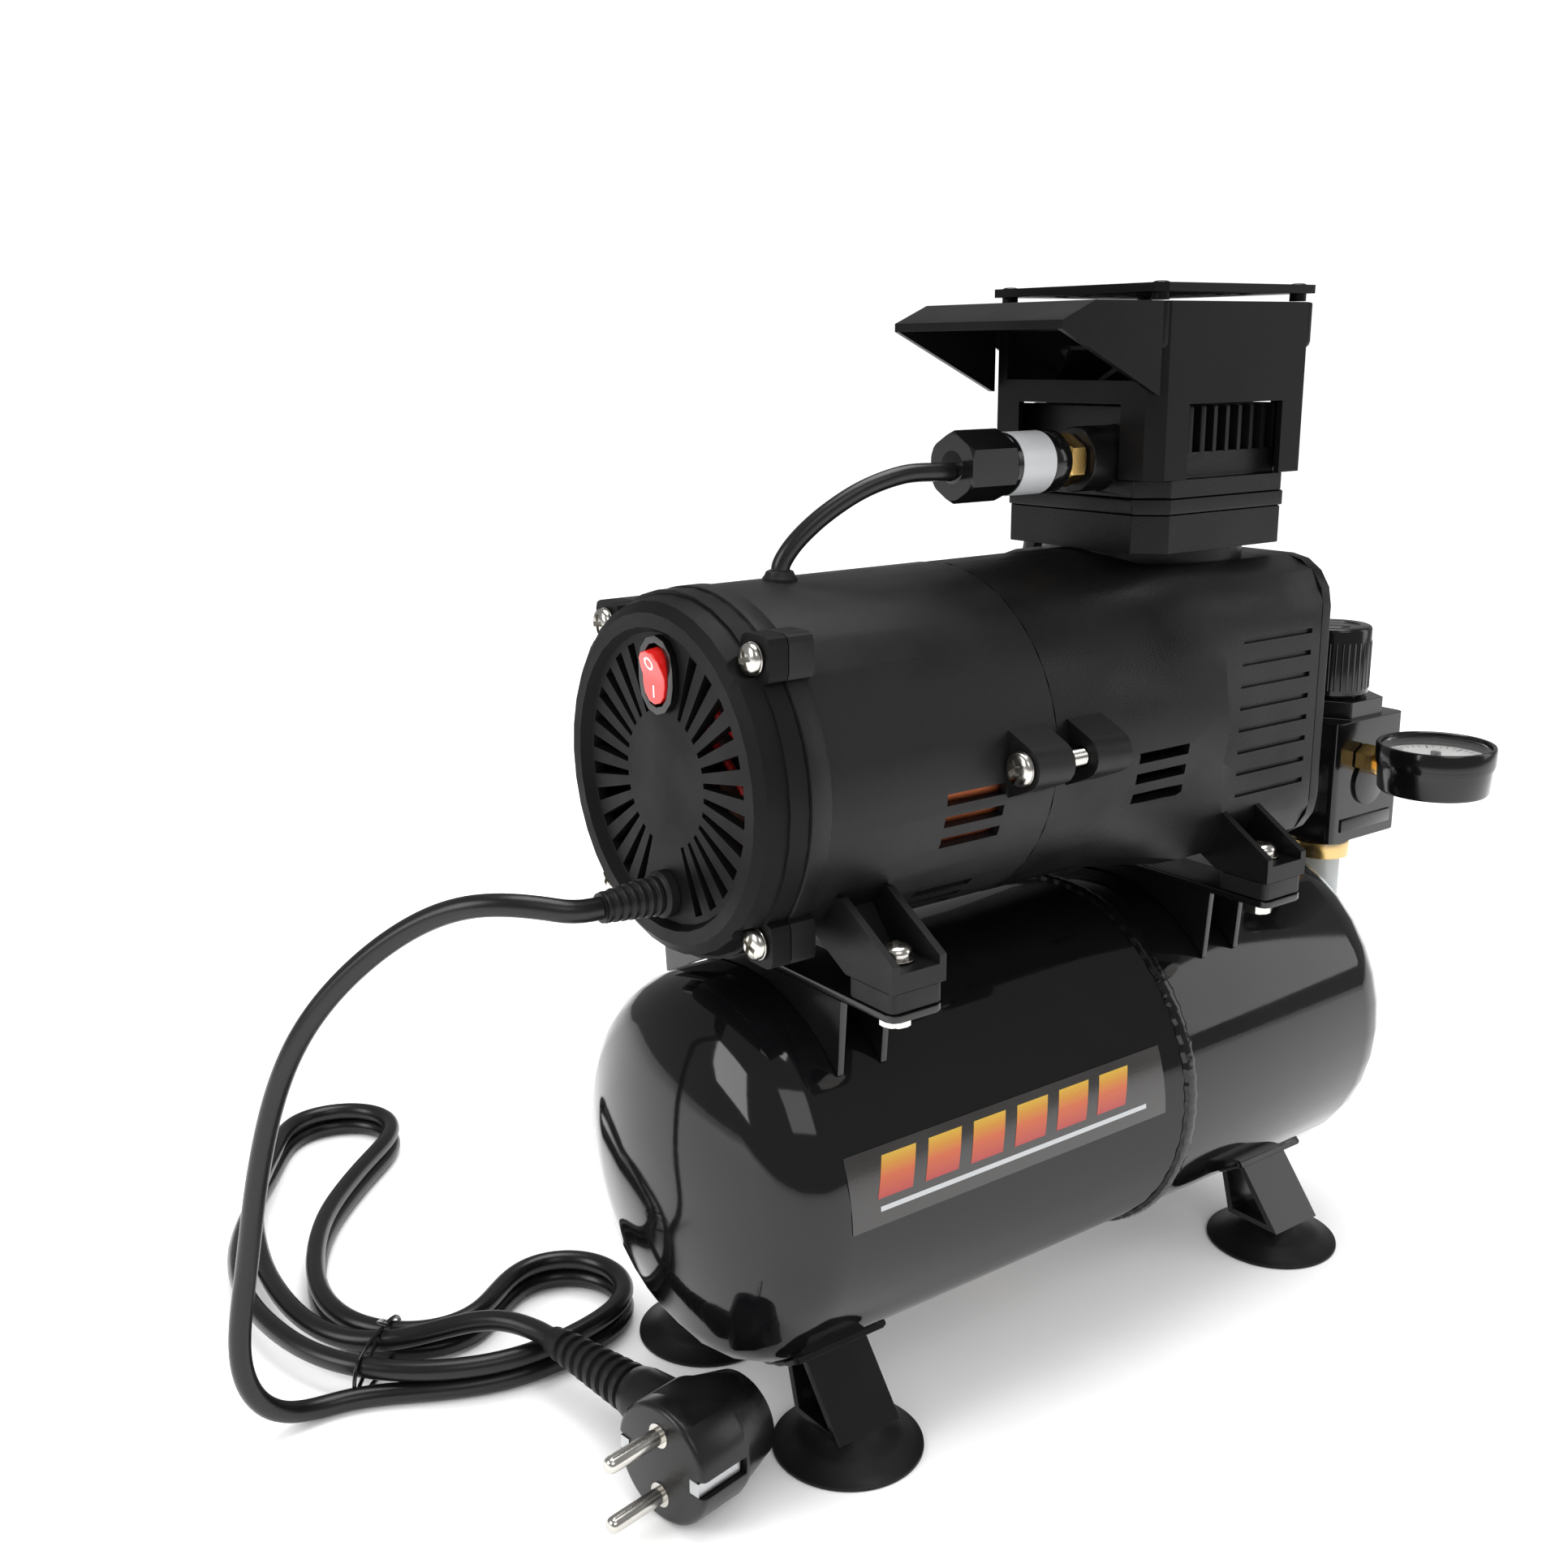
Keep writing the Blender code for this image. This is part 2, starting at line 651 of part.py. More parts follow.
def tank_shell():
    profile = tank_half_profile(-WELD_X + GAP / 2, True)
    shell = turn(profile, "Z", BIG_SIDES)
    shell = moved(shell, Matrix.Rotation(math.pi, 4, "Y"))
    shell = moved(shell, Matrix.Translation((0, 0, TANK_AXIS_Z)) @ AXIS_TURN["X"])
    bottom = TANK_AXIS_Z - TANK_RADIUS
    low = bottom - DRAIN_BOSS_HEIGHT
    boss = disc(DRAIN_BOSS_RADIUS, "Z", low, bottom + TANK_WALL / 2, (DRAIN_X, 0, 0), COLLAR_SIDES)
    hole = disc(DRAIN_STEM_RADIUS + PLAY, "Z", low - SINK, low + DRAIN_STEM_LENGTH + PLAY,
                (DRAIN_X, 0, 0), SMALL_SIDES)
    part("tank_shell", cut(join(shell, boss), hole), gloss_black_paint())


def tank_end():
    shell = turn(tank_half_profile(WELD_X + GAP / 2, False), "X", BIG_SIDES, (0, 0, TANK_AXIS_Z))
    part("tank_end", shell, gloss_black_paint())


def drain_screw():
    top = TANK_AXIS_Z - TANK_RADIUS - DRAIN_BOSS_HEIGHT - GAP
    low = top - DRAIN_HEAD_HEIGHT
    head = hexagon(DRAIN_HEAD_RADIUS, "Z", low, top, (DRAIN_X, 0, 0))
    stem = disc(DRAIN_STEM_RADIUS, "Z", top - SINK, top + DRAIN_STEM_LENGTH, (DRAIN_X, 0, 0), SMALL_SIDES)
    part("drain_screw", join(head, stem), brass(), (DRAIN_X, 0, top))


def tank_cutter(clearance):
    return disc(TANK_RADIUS + clearance, "X", -TANK_LENGTH, TANK_LENGTH, (0, 0, TANK_AXIS_Z), BIG_SIDES)


def foot_bracket(name, x, side):
    """Three-sided strap on a curved pad, for the -Y side, mirrored for +Y."""
    half = STRAP_WIDTH / 2
    base = FOOT_HEIGHT + GAP
    top = base + STRAP_THICKNESS
    outer_top = (-FOOT_Y + STRAP_OUTER_TOP, TANK_CLEARANCE + STRAP_OUTER_RISE)
    inner_top = (-FOOT_Y + STRAP_INNER_TOP, TANK_CLEARANCE + STRAP_INNER_RISE)
    low_out, low_in = -FOOT_Y - STRAP_HALF_BASE, -FOOT_Y + STRAP_HALF_BASE
    line = [outer_top, (low_out, base), (low_in, base), inner_top]
    strap = extrude(strip(line, STRAP_THICKNESS), "X", x - half, x + half)
    strap = cut(strap, tank_cutter(GAP + PAD_THICKNESS / 2))
    inner = TANK_RADIUS + GAP
    first, last = PAD_ARC
    ring = arc((0, TANK_AXIS_Z), inner, first, last, PAD_STEPS)
    ring += arc((0, TANK_AXIS_Z), inner + PAD_THICKNESS, last, first, PAD_STEPS)
    pad = extrude(ring, "X", x - PAD_WIDTH / 2, x + PAD_WIDTH / 2)
    hole = disc(STUD_RADIUS + PLAY, "Z", base - SINK, top + SINK, (x, -FOOT_Y, 0), SMALL_SIDES)
    shape = cut(join(pad, strap), hole)
    if side > 0:
        shape = mirrored_y(shape)
    part(name, shape, satin_black_paint())


def foot_cup(name, x, side):
    """Rubber suction cup with its stud and nut."""
    y = side * FOOT_Y
    strap_top = FOOT_HEIGHT + GAP + STRAP_THICKNESS + GAP
    nut_top = strap_top + STUD_NUT_HEIGHT
    profile = [(0, CUP_HOLLOW), (FOOT_RADIUS - CUP_HOLLOW, 0), (FOOT_RADIUS, 0), (FOOT_RADIUS, CUP_RIM_HEIGHT),
               CUP_SHOULDER, CUP_NECK, (CUP_TOP_RADIUS, FOOT_HEIGHT),
               (STUD_RADIUS, FOOT_HEIGHT), (STUD_RADIUS, strap_top), (STUD_NUT_RADIUS, strap_top),
               (STUD_NUT_RADIUS, nut_top), (0, nut_top)]
    part(name, turn(profile, "Z", COLLAR_SIDES, (x, y, 0)), black_rubber(), (x, y, 0))


def feet():
    number = 0
    for x in (-FOOT_X, FOOT_X):
        for side in (-1, 1):
            number += 1
            foot_bracket(f"foot_bracket_{number}", x, side)
            foot_cup(f"foot_cup_{number}", x, side)


# ---------------------------------------------------------------- motor mounting

CROWN_Z = TANK_AXIS_Z + TANK_RADIUS
PLATE_LOW_Z = CROWN_Z + PLATE_RISE
PLATE_TOP_Z = PLATE_LOW_Z + PLATE_THICKNESS
ISOLATOR_LOW_Z = PLATE_TOP_Z + GAP
ISOLATOR_TOP_Z = ISOLATOR_LOW_Z + ISOLATOR_HEIGHT
LEG_LOW_Z = ISOLATOR_TOP_Z + GAP
LEG_TOP_Z = LEG_LOW_Z + LEG_BASE


def cross_plate(name, x):
    """Plate across the tank with two webs that stand on the tank's crown."""
    half = LEG_WIDTH / 2
    reach = BOLT_Y + LEG_REACH
    plate = extrude(rounded_rectangle(half, reach, 3 * MM, 2), "Z", PLATE_LOW_Z, PLATE_TOP_Z)
    plate = at(plate, x)
    foot = TANK_RADIUS * WEB_FOOT_SHARE
    web = [(-BOLT_Y + WEB_INSET, PLATE_TOP_Z - SINK), (-foot, CROWN_Z - WEB_FOOT_DROP),
           (foot, CROWN_Z - WEB_FOOT_DROP), (BOLT_Y - WEB_INSET, PLATE_TOP_Z - SINK)]
    for low in (x - half + 0.4 * MM, x + half - 0.4 * MM - PLATE_THICKNESS):
        plate = join(plate, extrude(web, "X", low, low + PLATE_THICKNESS))
    holes = [disc(BOLT_RADIUS + PLAY, "Z", PLATE_LOW_Z - SINK, PLATE_TOP_Z + SINK, (x, side * BOLT_Y, 0),
                  SMALL_SIDES) for side in (-1, 1)]
    part(name, cut(cut(plate, tank_cutter(GAP)), *holes), satin_black_paint())


def isolator(name, x, y):
    half = LEG_WIDTH / 2 - 0.3 * MM
    outline = rounded_rectangle(half, LEG_REACH - 2 * GAP, 2 * MM, 2)
    pad = extrude(outline, "Z", ISOLATOR_LOW_Z, ISOLATOR_TOP_Z)
    hole = disc(BOLT_RADIUS + PLAY, "Z", ISOLATOR_LOW_Z - SINK, ISOLATOR_TOP_Z + SINK, (0, 0, 0),
                SMALL_SIDES)
    part(name, at(cut(pad, hole), x, y), black_rubber())


def motor_bolt(name, x, y):
    head_low = LEG_TOP_Z + GAP
    nut_top = PLATE_LOW_Z - GAP
    profile = [(0, nut_top - SINK), (BOLT_RADIUS, nut_top - SINK), (BOLT_RADIUS, head_low),
               (BOLT_HEAD_RADIUS, head_low), (BOLT_HEAD_RADIUS, head_low + BOLT_HEAD_HEIGHT / 2),
               (BOLT_HEAD_RADIUS * 0.62, head_low + BOLT_HEAD_HEIGHT), (0, head_low + BOLT_HEAD_HEIGHT)]
    bolt = turn(profile, "Z", SMALL_SIDES, (x, y, 0))
    nut = hexagon(NUT_RADIUS, "Z", nut_top - NUT_HEIGHT, nut_top, (x, y, 0))
    part(name, join(bolt, nut), nickel(), (x, y, head_low))


def motor_mounting():
    cross_plate("cross_plate_rear", LEG_REAR_X)
    cross_plate("cross_plate_front", LEG_FRONT_X)
    number = 0
    for x in (LEG_REAR_X, LEG_FRONT_X):
        for y in (-BOLT_Y, BOLT_Y):
            number += 1
            isolator(f"isolator_{number}", x, y)
            motor_bolt(f"motor_bolt_{number}", x, y)


# ---------------------------------------------------------------- motor housing

def leg(x, side):
    """Channel-shaped leg from the barrel's flank down to its bolt, for -Y, mirrored for +Y."""
    half = LEG_WIDTH / 2
    tip = -BOLT_Y - LEG_REACH
    heel = -BOLT_Y + LEG_REACH
    above = LEG_LOW_Z + 2 * LEG_KNEE_HEIGHT
    rib = [(tip, LEG_LOW_Z), (heel, LEG_LOW_Z), (-LEG_ROOT_Y, LEG_LOW_Z + LEG_ROOT_LOW),
           (-LEG_ROOT_Y, LEG_LOW_Z + LEG_ROOT_HIGH), (-LEG_KNEE_Y, LEG_LOW_Z + LEG_KNEE_HEIGHT),
           (tip, LEG_TOP_Z + LEG_RIB)]
    channel = [(tip - SINK, LEG_TOP_Z), (heel, LEG_TOP_Z), (-LEG_CHANNEL_Y, LEG_LOW_Z + LEG_CHANNEL_HEIGHT),
               (-LEG_KNEE_Y, above), (tip - SINK, above)]
    shape = cut(extrude(rib, "X", x - half, x + half),
                extrude(channel, "X", x - half + LEG_RIB, x + half - LEG_RIB))
    hole = disc(BOLT_RADIUS + PLAY, "Z", LEG_LOW_Z - SINK, LEG_TOP_Z + SINK, (x, -BOLT_Y, 0), SMALL_SIDES)
    shape = cut(shape, hole)
    return mirrored_y(shape) if side > 0 else shape


def lug(low, high, side):
    """Clamp lug standing out of the barrel."""
    z = MOTOR_AXIS_Z + LUG_Z
    root = -BARREL_RADIUS + BARREL_WALL + PLAY / 2
    half_root = LUG_HALF_HEIGHT + 4 * MM
    outline = [(root, z - half_root), (root, z + half_root)]
    outline += arc((-LUG_Y, z), LUG_HALF_HEIGHT, 110, 250, 6)
    shape = extrude(outline, "X", low, high)
    return mirrored_y(shape) if side > 0 else shape


def clamp_hole(side):
    centre = (0, side * LUG_Y, MOTOR_AXIS_Z + LUG_Z)
    low = SHELL_SPLIT_X - LUG_GAP / 2 - LUG_LENGTH - SINK
    high = SHELL_SPLIT_X + LUG_GAP / 2 + LUG_LENGTH + SINK
    return disc(CLAMP_SCREW_RADIUS + PLAY, "X", low, high, centre, SMALL_SIDES)


def clamp_screw(name, side):
    centre = (0, side * LUG_Y, MOTOR_AXIS_Z + LUG_Z)
    low = SHELL_SPLIT_X - LUG_GAP / 2 - LUG_LENGTH - GAP
    high = SHELL_SPLIT_X + LUG_GAP / 2 + LUG_LENGTH - 2 * MM
    profile = [(0, low - SCREW_HEAD_HEIGHT), (CLAMP_HEAD_RADIUS * 0.6, low - SCREW_HEAD_HEIGHT),
               (CLAMP_HEAD_RADIUS, low - SCREW_HEAD_HEIGHT / 3), (CLAMP_HEAD_RADIUS, low),
               (CLAMP_SCREW_RADIUS, low), (CLAMP_SCREW_RADIUS, high), (0, high)]
    part(name, turn(profile, "X", SMALL_SIDES, centre), nickel())


def vents(x):
    """Cutters for the slots in both flanks of the barrel, an upper and a lower set."""
    cutters = []
    for side in (-1, 1):
        for first in VENT_STARTS:
            for row in range(3):
                slot = block((x - VENT_LENGTH / 2, -VENT_HEIGHT / 2, -BARREL_RADIUS - SINK),
                             (x + VENT_LENGTH / 2, VENT_HEIGHT / 2, -BARREL_RADIUS + VENT_DEPTH))
                angle = math.radians(90 - first - VENT_PITCH * row) * side
                place = Matrix.Translation((0, 0, MOTOR_AXIS_Z)) @ Matrix.Rotation(angle, 4, "X")
                cutters.append(moved(slot, place))
    return cutters


def ear_blocks(low, high):
    """The four corner ears of the rear joint, from low to high along X."""
    ears = []
    for y_side in (-1, 1):
        for z_side in (-1, 1):
            outline = rounded_rectangle(EAR_HALF, EAR_HALF, 2.5 * MM, 2)
            outline = shifted(outline, y_side * EAR_Y, MOTOR_AXIS_Z + z_side * EAR_Z)
            ear = extrude(outline, "X", low, high)
            root = block((low, y_side * EAR_ROOT, MOTOR_AXIS_Z + z_side * (EAR_ROOT + SINK)),
                         (high, y_side * (EAR_Y + 2 * MM), MOTOR_AXIS_Z + z_side * (EAR_Z + 2 * MM)))
            bmesh.ops.recalc_face_normals(root, faces=root.faces)
            ears.append(join(ear, root))
    return ears


def ear_holes(radius, low, high):
    holes = []
    for y_side in (-1, 1):
        for z_side in (-1, 1):
            centre = (0, y_side * EAR_Y, MOTOR_AXIS_Z + z_side * EAR_Z)
            holes.append(disc(radius, "X", low, high, centre, SMALL_SIDES))
    return holes


SHELL_BACK_X = COVER_BACK_X + GAP
SHELL_INNER = BARREL_RADIUS - BARREL_WALL
SHELL_FRONT_X = SHELL_SPLIT_X - GAP / 2
CASE_BACK_X = SHELL_SPLIT_X + GAP / 2


def motor_shell():
    axis = (0, 0, MOTOR_AXIS_Z)
    shell = disc(BARREL_RADIUS, "X", SHELL_BACK_X, SHELL_FRONT_X, axis, BIG_SIDES)
    for ear in ear_blocks(SHELL_BACK_X, SHELL_BACK_X + EAR_DEPTH):
        shell = join(shell, ear)
    lug_low = SHELL_SPLIT_X - LUG_GAP / 2 - LUG_LENGTH
    for side in (-1, 1):
        shell = join(shell, leg(LEG_REAR_X, side))
        shell = join(shell, lug(lug_low, lug_low + LUG_LENGTH, side))
    bore = disc(SHELL_INNER, "X", SHELL_BACK_X - SINK, SHELL_FRONT_X + SINK, axis, BIG_SIDES)
    shell = cut(shell, bore)
    holes = ear_holes(SCREW_RADIUS + PLAY / 2, SHELL_BACK_X - SINK, SHELL_BACK_X + EAR_DEPTH - SINK)
    shell = cut(shell, *holes, *[clamp_hole(side) for side in (-1, 1)], *vents(SHELL_VENT_X))
    part("motor_shell", shell, satin_black_paint())


def case_ring(x, blend, barrel):
    """Points round the crankcase: the rounded box blended into the barrel's circle."""
    ring = []
    for step in range(BIG_SIDES):
        angle = math.tau * (step + 0.5) / BIG_SIDES
        across, up = abs(math.cos(angle)), abs(math.sin(angle))
        box = min(CASE_HALF_WIDTH / max(across, 1e-9), CASE_HALF_HEIGHT / max(up, 1e-9))
        centre = Vector((CASE_HALF_WIDTH - CASE_CORNER, CASE_HALF_HEIGHT - CASE_CORNER))
        along = centre.x * across + centre.y * up
        inside = along ** 2 - centre.length_squared + CASE_CORNER ** 2
        if box * across > centre.x and box * up > centre.y and inside > 0:
            box = min(box, along + math.sqrt(inside))
        radius = BARREL_RADIUS + (box - BARREL_RADIUS) * blend
        if barrel:
            radius = max(radius, BARREL_RADIUS)
        ring.append((x, radius * math.cos(angle), MOTOR_AXIS_Z + radius * math.sin(angle)))
    return ring


def loft(rings):
    """A closed body through rings of equal point counts."""
    shape = bmesh.new()
    rows = [[shape.verts.new(point) for point in ring] for ring in rings]
    for row, following in zip(rows, rows[1:]):
        for here, there, far, near in zip(row, row[1:] + row[:1], following[1:] + following[:1], following):
            shape.faces.new((here, there, far, near))
    shape.faces.new(rows[0])
    shape.faces.new(rows[-1])
    bmesh.ops.recalc_face_normals(shape, faces=shape.faces)
    return shape


def crankcase():
    axis = (0, 0, MOTOR_AXIS_Z)
    rings = [case_ring(CASE_BACK_X, 0, True)]
    rings += [case_ring(x, share, True) for x, share in CASE_SHOULDERS]
    rings += [case_ring(BARREL_END_X, 1, True), case_ring(BARREL_END_X + CASE_STEP, 1, False),
              case_ring(CASE_END_X, 1, False)]
    neck_low = NECK_TOP_Z - NECK_DEPTH
    neck = disc(NECK_RADIUS, "Z", neck_low, NECK_TOP_Z, (HEAD_X, 0, 0), BIG_SIDES)
    case = join(loft(rings), neck)
    lug_low = SHELL_SPLIT_X + LUG_GAP / 2
    for side in (-1, 1):
        case = join(case, leg(LEG_FRONT_X, side))
        case = join(case, lug(lug_low, lug_low + LUG_LENGTH, side))
    front_room = disc(SHELL_INNER, "X", CASE_BACK_X - SINK, BULKHEAD_X, axis, BIG_SIDES)
    crank_room = disc(CASE_BORE, "X", BULKHEAD_X + BULKHEAD_THICKNESS, CASE_END_X + SINK, axis, BIG_SIDES)
    bearing = disc(BEARING_RADIUS + SHAFT_PLAY, "X", BULKHEAD_X - SINK,
                   BULKHEAD_X + BULKHEAD_THICKNESS + SINK, axis)
    case = cut(cut(case, front_room, crank_room), bearing)
    sleeve_hole = disc(PISTON_RADIUS + PLAY + SLEEVE_WALL + GAP, "Z", MOTOR_AXIS_Z, NECK_TOP_Z + SINK,
                       (HEAD_X, 0, 0), ROUND_SIDES)
    case = cut(case, sleeve_hole)
    case = cut(case, *[clamp_hole(side) for side in (-1, 1)], *vents(CASE_VENT_X), *case_grooves())
    part("crankcase", case, satin_black_paint())


def case_grooves():
    """Cutters for the level grooves in both flanks of the crankcase's square end."""
    cutters = []
    flat = 2 * (CASE_HALF_HEIGHT - CASE_CORNER)
    middle = (BARREL_END_X + CASE_END_X) / 2 + 2 * MM
    for side in (-1, 1):
        for row in range(GROOVE_COUNT):
            z = MOTOR_AXIS_Z - flat / 2 + flat * (row + 1) / (GROOVE_COUNT + 1)
            outer, inner = side * (CASE_HALF_WIDTH + SINK), side * (CASE_HALF_WIDTH - GROOVE_DEPTH)
            cutters.append(block((middle - GROOVE_LENGTH / 2, min(outer, inner), z - GROOVE_HEIGHT / 2),
                                 (middle + GROOVE_LENGTH / 2, max(outer, inner), z + GROOVE_HEIGHT / 2)))
    return cutters


def crankcase_cover():
    start = CASE_END_X + GAP
    end = start + CASE_COVER_THICKNESS
    outline = rounded_rectangle(CASE_HALF_WIDTH, CASE_HALF_HEIGHT, CASE_CORNER, 4)
    edge = CASE_COVER_EDGE
    smaller = rounded_rectangle(CASE_HALF_WIDTH - edge, CASE_HALF_HEIGHT - edge, CASE_CORNER - edge, 4)
    rings = [[(x, u, MOTOR_AXIS_Z + v) for u, v in line]
             for x, line in ((start, outline), (end - edge, outline), (end, smaller))]
    spigot = disc(CASE_BORE - PLAY, "X", CASE_END_X - SPIGOT_DEPTH, start + SINK, (0, 0, MOTOR_AXIS_Z),
                  ROUND_SIDES)
    part("crankcase_cover", join(loft(rings), spigot), satin_black_paint())


def slot_cutters():
    """Radial slots in the rear cover, left out where the switch and the gland sit."""
    cutters = []
    for step in range(SLOT_COUNT):
        angle = 360 * (step + 0.5) / SLOT_COUNT
        if abs(angle % 180 - SLOT_SKIP_MIDDLE) < SLOT_SKIP:
            continue
        slot = [(SLOT_INNER, -SLOT_INNER_HALF), (SLOT_OUTER, -SLOT_OUTER_HALF), (SLOT_OUTER, SLOT_OUTER_HALF),
                (SLOT_INNER, SLOT_INNER_HALF)]
        cutter = extrude(slot, "X", COVER_FACE_X - SINK, COVER_FACE_X + COVER_WALL + SINK)
        place = Matrix.Translation((0, 0, MOTOR_AXIS_Z)) @ Matrix.Rotation(math.radians(angle), 4, "X")
        cutters.append(moved(cutter, place))
    return cutters


def rear_cover():
    face, back = COVER_FACE_X, COVER_BACK_X
    flange = back - COVER_FLANGE_THICKNESS
    inside = face + COVER_WALL
    axis = (0, 0, MOTOR_AXIS_Z)
    room_radius = BARREL_RADIUS - COVER_RIM_WIDTH
    ring_inner = COVER_FACE_RADIUS + 1.5 * MM
    profile = [(0, face), (COVER_FACE_RADIUS, face), (ring_inner, face - RING_RISE),
               (ring_inner + RING_WIDTH, face - RING_RISE), (BARREL_RADIUS - 2.5 * MM, face - 0.4 * MM),
               (BARREL_RADIUS - 1 * MM, flange), (BARREL_RADIUS, flange), (BARREL_RADIUS, back), (0, back)]
    cover = turn(profile, "X", BIG_SIDES, axis)
    for ear in ear_blocks(flange, back):
        cover = join(cover, ear)
    room = [(2 * BEARING_RADIUS, inside), (COVER_FACE_RADIUS, inside), (room_radius, flange),
            (room_radius, back + SINK), (2 * BEARING_RADIUS, back + SINK)]
    cover = cut(cover, turn(room, "X", BIG_SIDES, axis))
    cover = cut(cover, disc(BEARING_RADIUS + SHAFT_PLAY, "X", inside + COVER_WALL, back + SINK, axis))
    cover = cut(cover, *ear_holes(SCREW_HEAD_RADIUS + PLAY, face - 2 * RING_RISE, flange))
    cover = cut(cover, *ear_holes(SCREW_RADIUS + PLAY / 2, flange - SINK, back + SINK))
    cover = cut(cover, *slot_cutters())
    switch = stadium(ROCKER_HALF_WIDTH + PLAY + SINK + GAP, BEZEL_OPENING + SINK + GAP)
    switch = extrude([(u, v + MOTOR_AXIS_Z + SWITCH_Z) for u, v in switch], "X", face - SINK,
                     face + COVER_WALL + SINK)
    gland = disc(GLAND_RADIUS - 2 * MM, "X", face - SINK, face + COVER_WALL + SINK,
                 (0, 0, MOTOR_AXIS_Z + GLAND_Z), COLLAR_SIDES)
    part("rear_cover", cut(cover, switch, gland), satin_black_paint())


def cover_screws():
    low = COVER_BACK_X - COVER_FLANGE_THICKNESS - GAP
    high = SHELL_BACK_X + EAR_DEPTH - 2 * SINK
    profile = [(0, low - SCREW_HEAD_HEIGHT), (SCREW_HEAD_RADIUS * 0.6, low - SCREW_HEAD_HEIGHT),
               (SCREW_HEAD_RADIUS, low - SCREW_HEAD_HEIGHT / 3), (SCREW_HEAD_RADIUS, low),
               (SCREW_RADIUS, low), (SCREW_RADIUS, high), (0, high)]
    number = 0
    for y_side in (-1, 1):
        for z_side in (-1, 1):
            number += 1
            centre = (0, y_side * EAR_Y, MOTOR_AXIS_Z + z_side * EAR_Z)
            part(f"cover_screw_{number}", turn(profile, "X", SMALL_SIDES, centre), nickel())


# ---------------------------------------------------------------- power switch and gland

ROCKER_SWEEP = math.hypot(ROCKER_HALF_HEIGHT, ROCKER_RISE)
BEZEL_OPENING = ROCKER_SWEEP + PLAY
ROCKER_PIVOT_X = COVER_FACE_X - BEZEL_THICKNESS + 1.2 * MM


def switch_bezel():
    """Rim with a box behind it, open at the front, that the rocker tilts in."""
    half_y = ROCKER_HALF_WIDTH + PLAY
    z = MOTOR_AXIS_Z + SWITCH_Z
    front = COVER_FACE_X - GAP - BEZEL_THICKNESS
    rim = stadium(half_y + BEZEL_RIM + PLAY, BEZEL_OPENING + BEZEL_RIM)
    box = stadium(half_y + SINK, BEZEL_OPENING + SINK)
    pocket = stadium(half_y, BEZEL_OPENING)
    raised = [(u, v + z) for u, v in rim]
    shape = extrude(raised, "X", front, COVER_FACE_X - GAP)
    shape = join(shape, extrude([(u, v + z) for u, v in box], "X", front + SINK, front + BEZEL_DEPTH))
    pocket = extrude([(u, v + z) for u, v in pocket], "X", front - SINK, front + BEZEL_DEPTH - 2 * SINK)
    part("switch_bezel", cut(shape, pocket), shiny_plastic())


def rocker():
    """Two-faced key that tilts about a level pin, stored with its lower half proud."""
    outline = [(-ROCKER_HALF_HEIGHT, ROCKER_RISE), (0, ROCKER_RISE - ROCKER_DIP),
               (ROCKER_HALF_HEIGHT, ROCKER_RISE), (ROCKER_HALF_HEIGHT, -ROCKER_DEPTH),
               (-ROCKER_HALF_HEIGHT, -ROCKER_DEPTH)]
    side = [(up, -out) for up, out in outline]
    shape = extrude(side, "Y", -ROCKER_HALF_WIDTH, ROCKER_HALF_WIDTH)
    ends = extrude(stadium(ROCKER_HALF_WIDTH, ROCKER_HALF_HEIGHT), "X", -2 * ROCKER_RISE, 2 * ROCKER_RISE)
    shape = combine(shape, ends, "INTERSECT")
    shape = moved(shape, Matrix.Rotation(math.radians(-ROCKER_TILT), 4, "Y"))
    pivot = (ROCKER_PIVOT_X, 0, MOTOR_AXIS_Z + SWITCH_Z)
    part("rocker", at(shape, *pivot), red_plastic(), pivot)


def cord_gland():
    z = MOTOR_AXIS_Z + GLAND_Z
    face = COVER_FACE_X - GAP
    tip = COVER_FACE_X - GLAND_LENGTH
    nose = CORD_RADIUS + 1.2 * MM
    spigot = GLAND_RADIUS - 2 * MM - GAP
    inside = face + 2 * COVER_WALL
    profile = [(0, tip), (nose, tip), (nose + 1 * MM, tip + 13 * MM), (GLAND_RADIUS - 1 * MM, face - 3.6 * MM),
               (GLAND_RADIUS, face - 3 * MM), (GLAND_RADIUS, face), (spigot, face), (spigot, inside),
               (0, inside)]
    part("cord_gland", turn(profile, "X", COLLAR_SIDES, (0, 0, z)), black_rubber())


# ---------------------------------------------------------------- motor and crank

def stator():
    low, high = STATOR_X - STATOR_LENGTH / 2, STATOR_X + STATOR_LENGTH / 2
    inner, outer = ARMATURE_RADIUS + AIR_GAP, SHELL_INNER - GAP
    middle = (inner + outer) / 2
    profile = [(outer, low), (outer, high), (middle + 3 * MM, high), (middle + 2 * MM, high + COIL_LENGTH),
               (inner + 2 * MM, high + COIL_LENGTH), (inner, high), (inner, low),
               (inner + 2 * MM, low - COIL_LENGTH), (middle + 2 * MM, low - COIL_LENGTH), (middle + 3 * MM, low)]
    part("stator", turn(profile, "X", BIG_SIDES, (0, 0, MOTOR_AXIS_Z)), copper_windings())


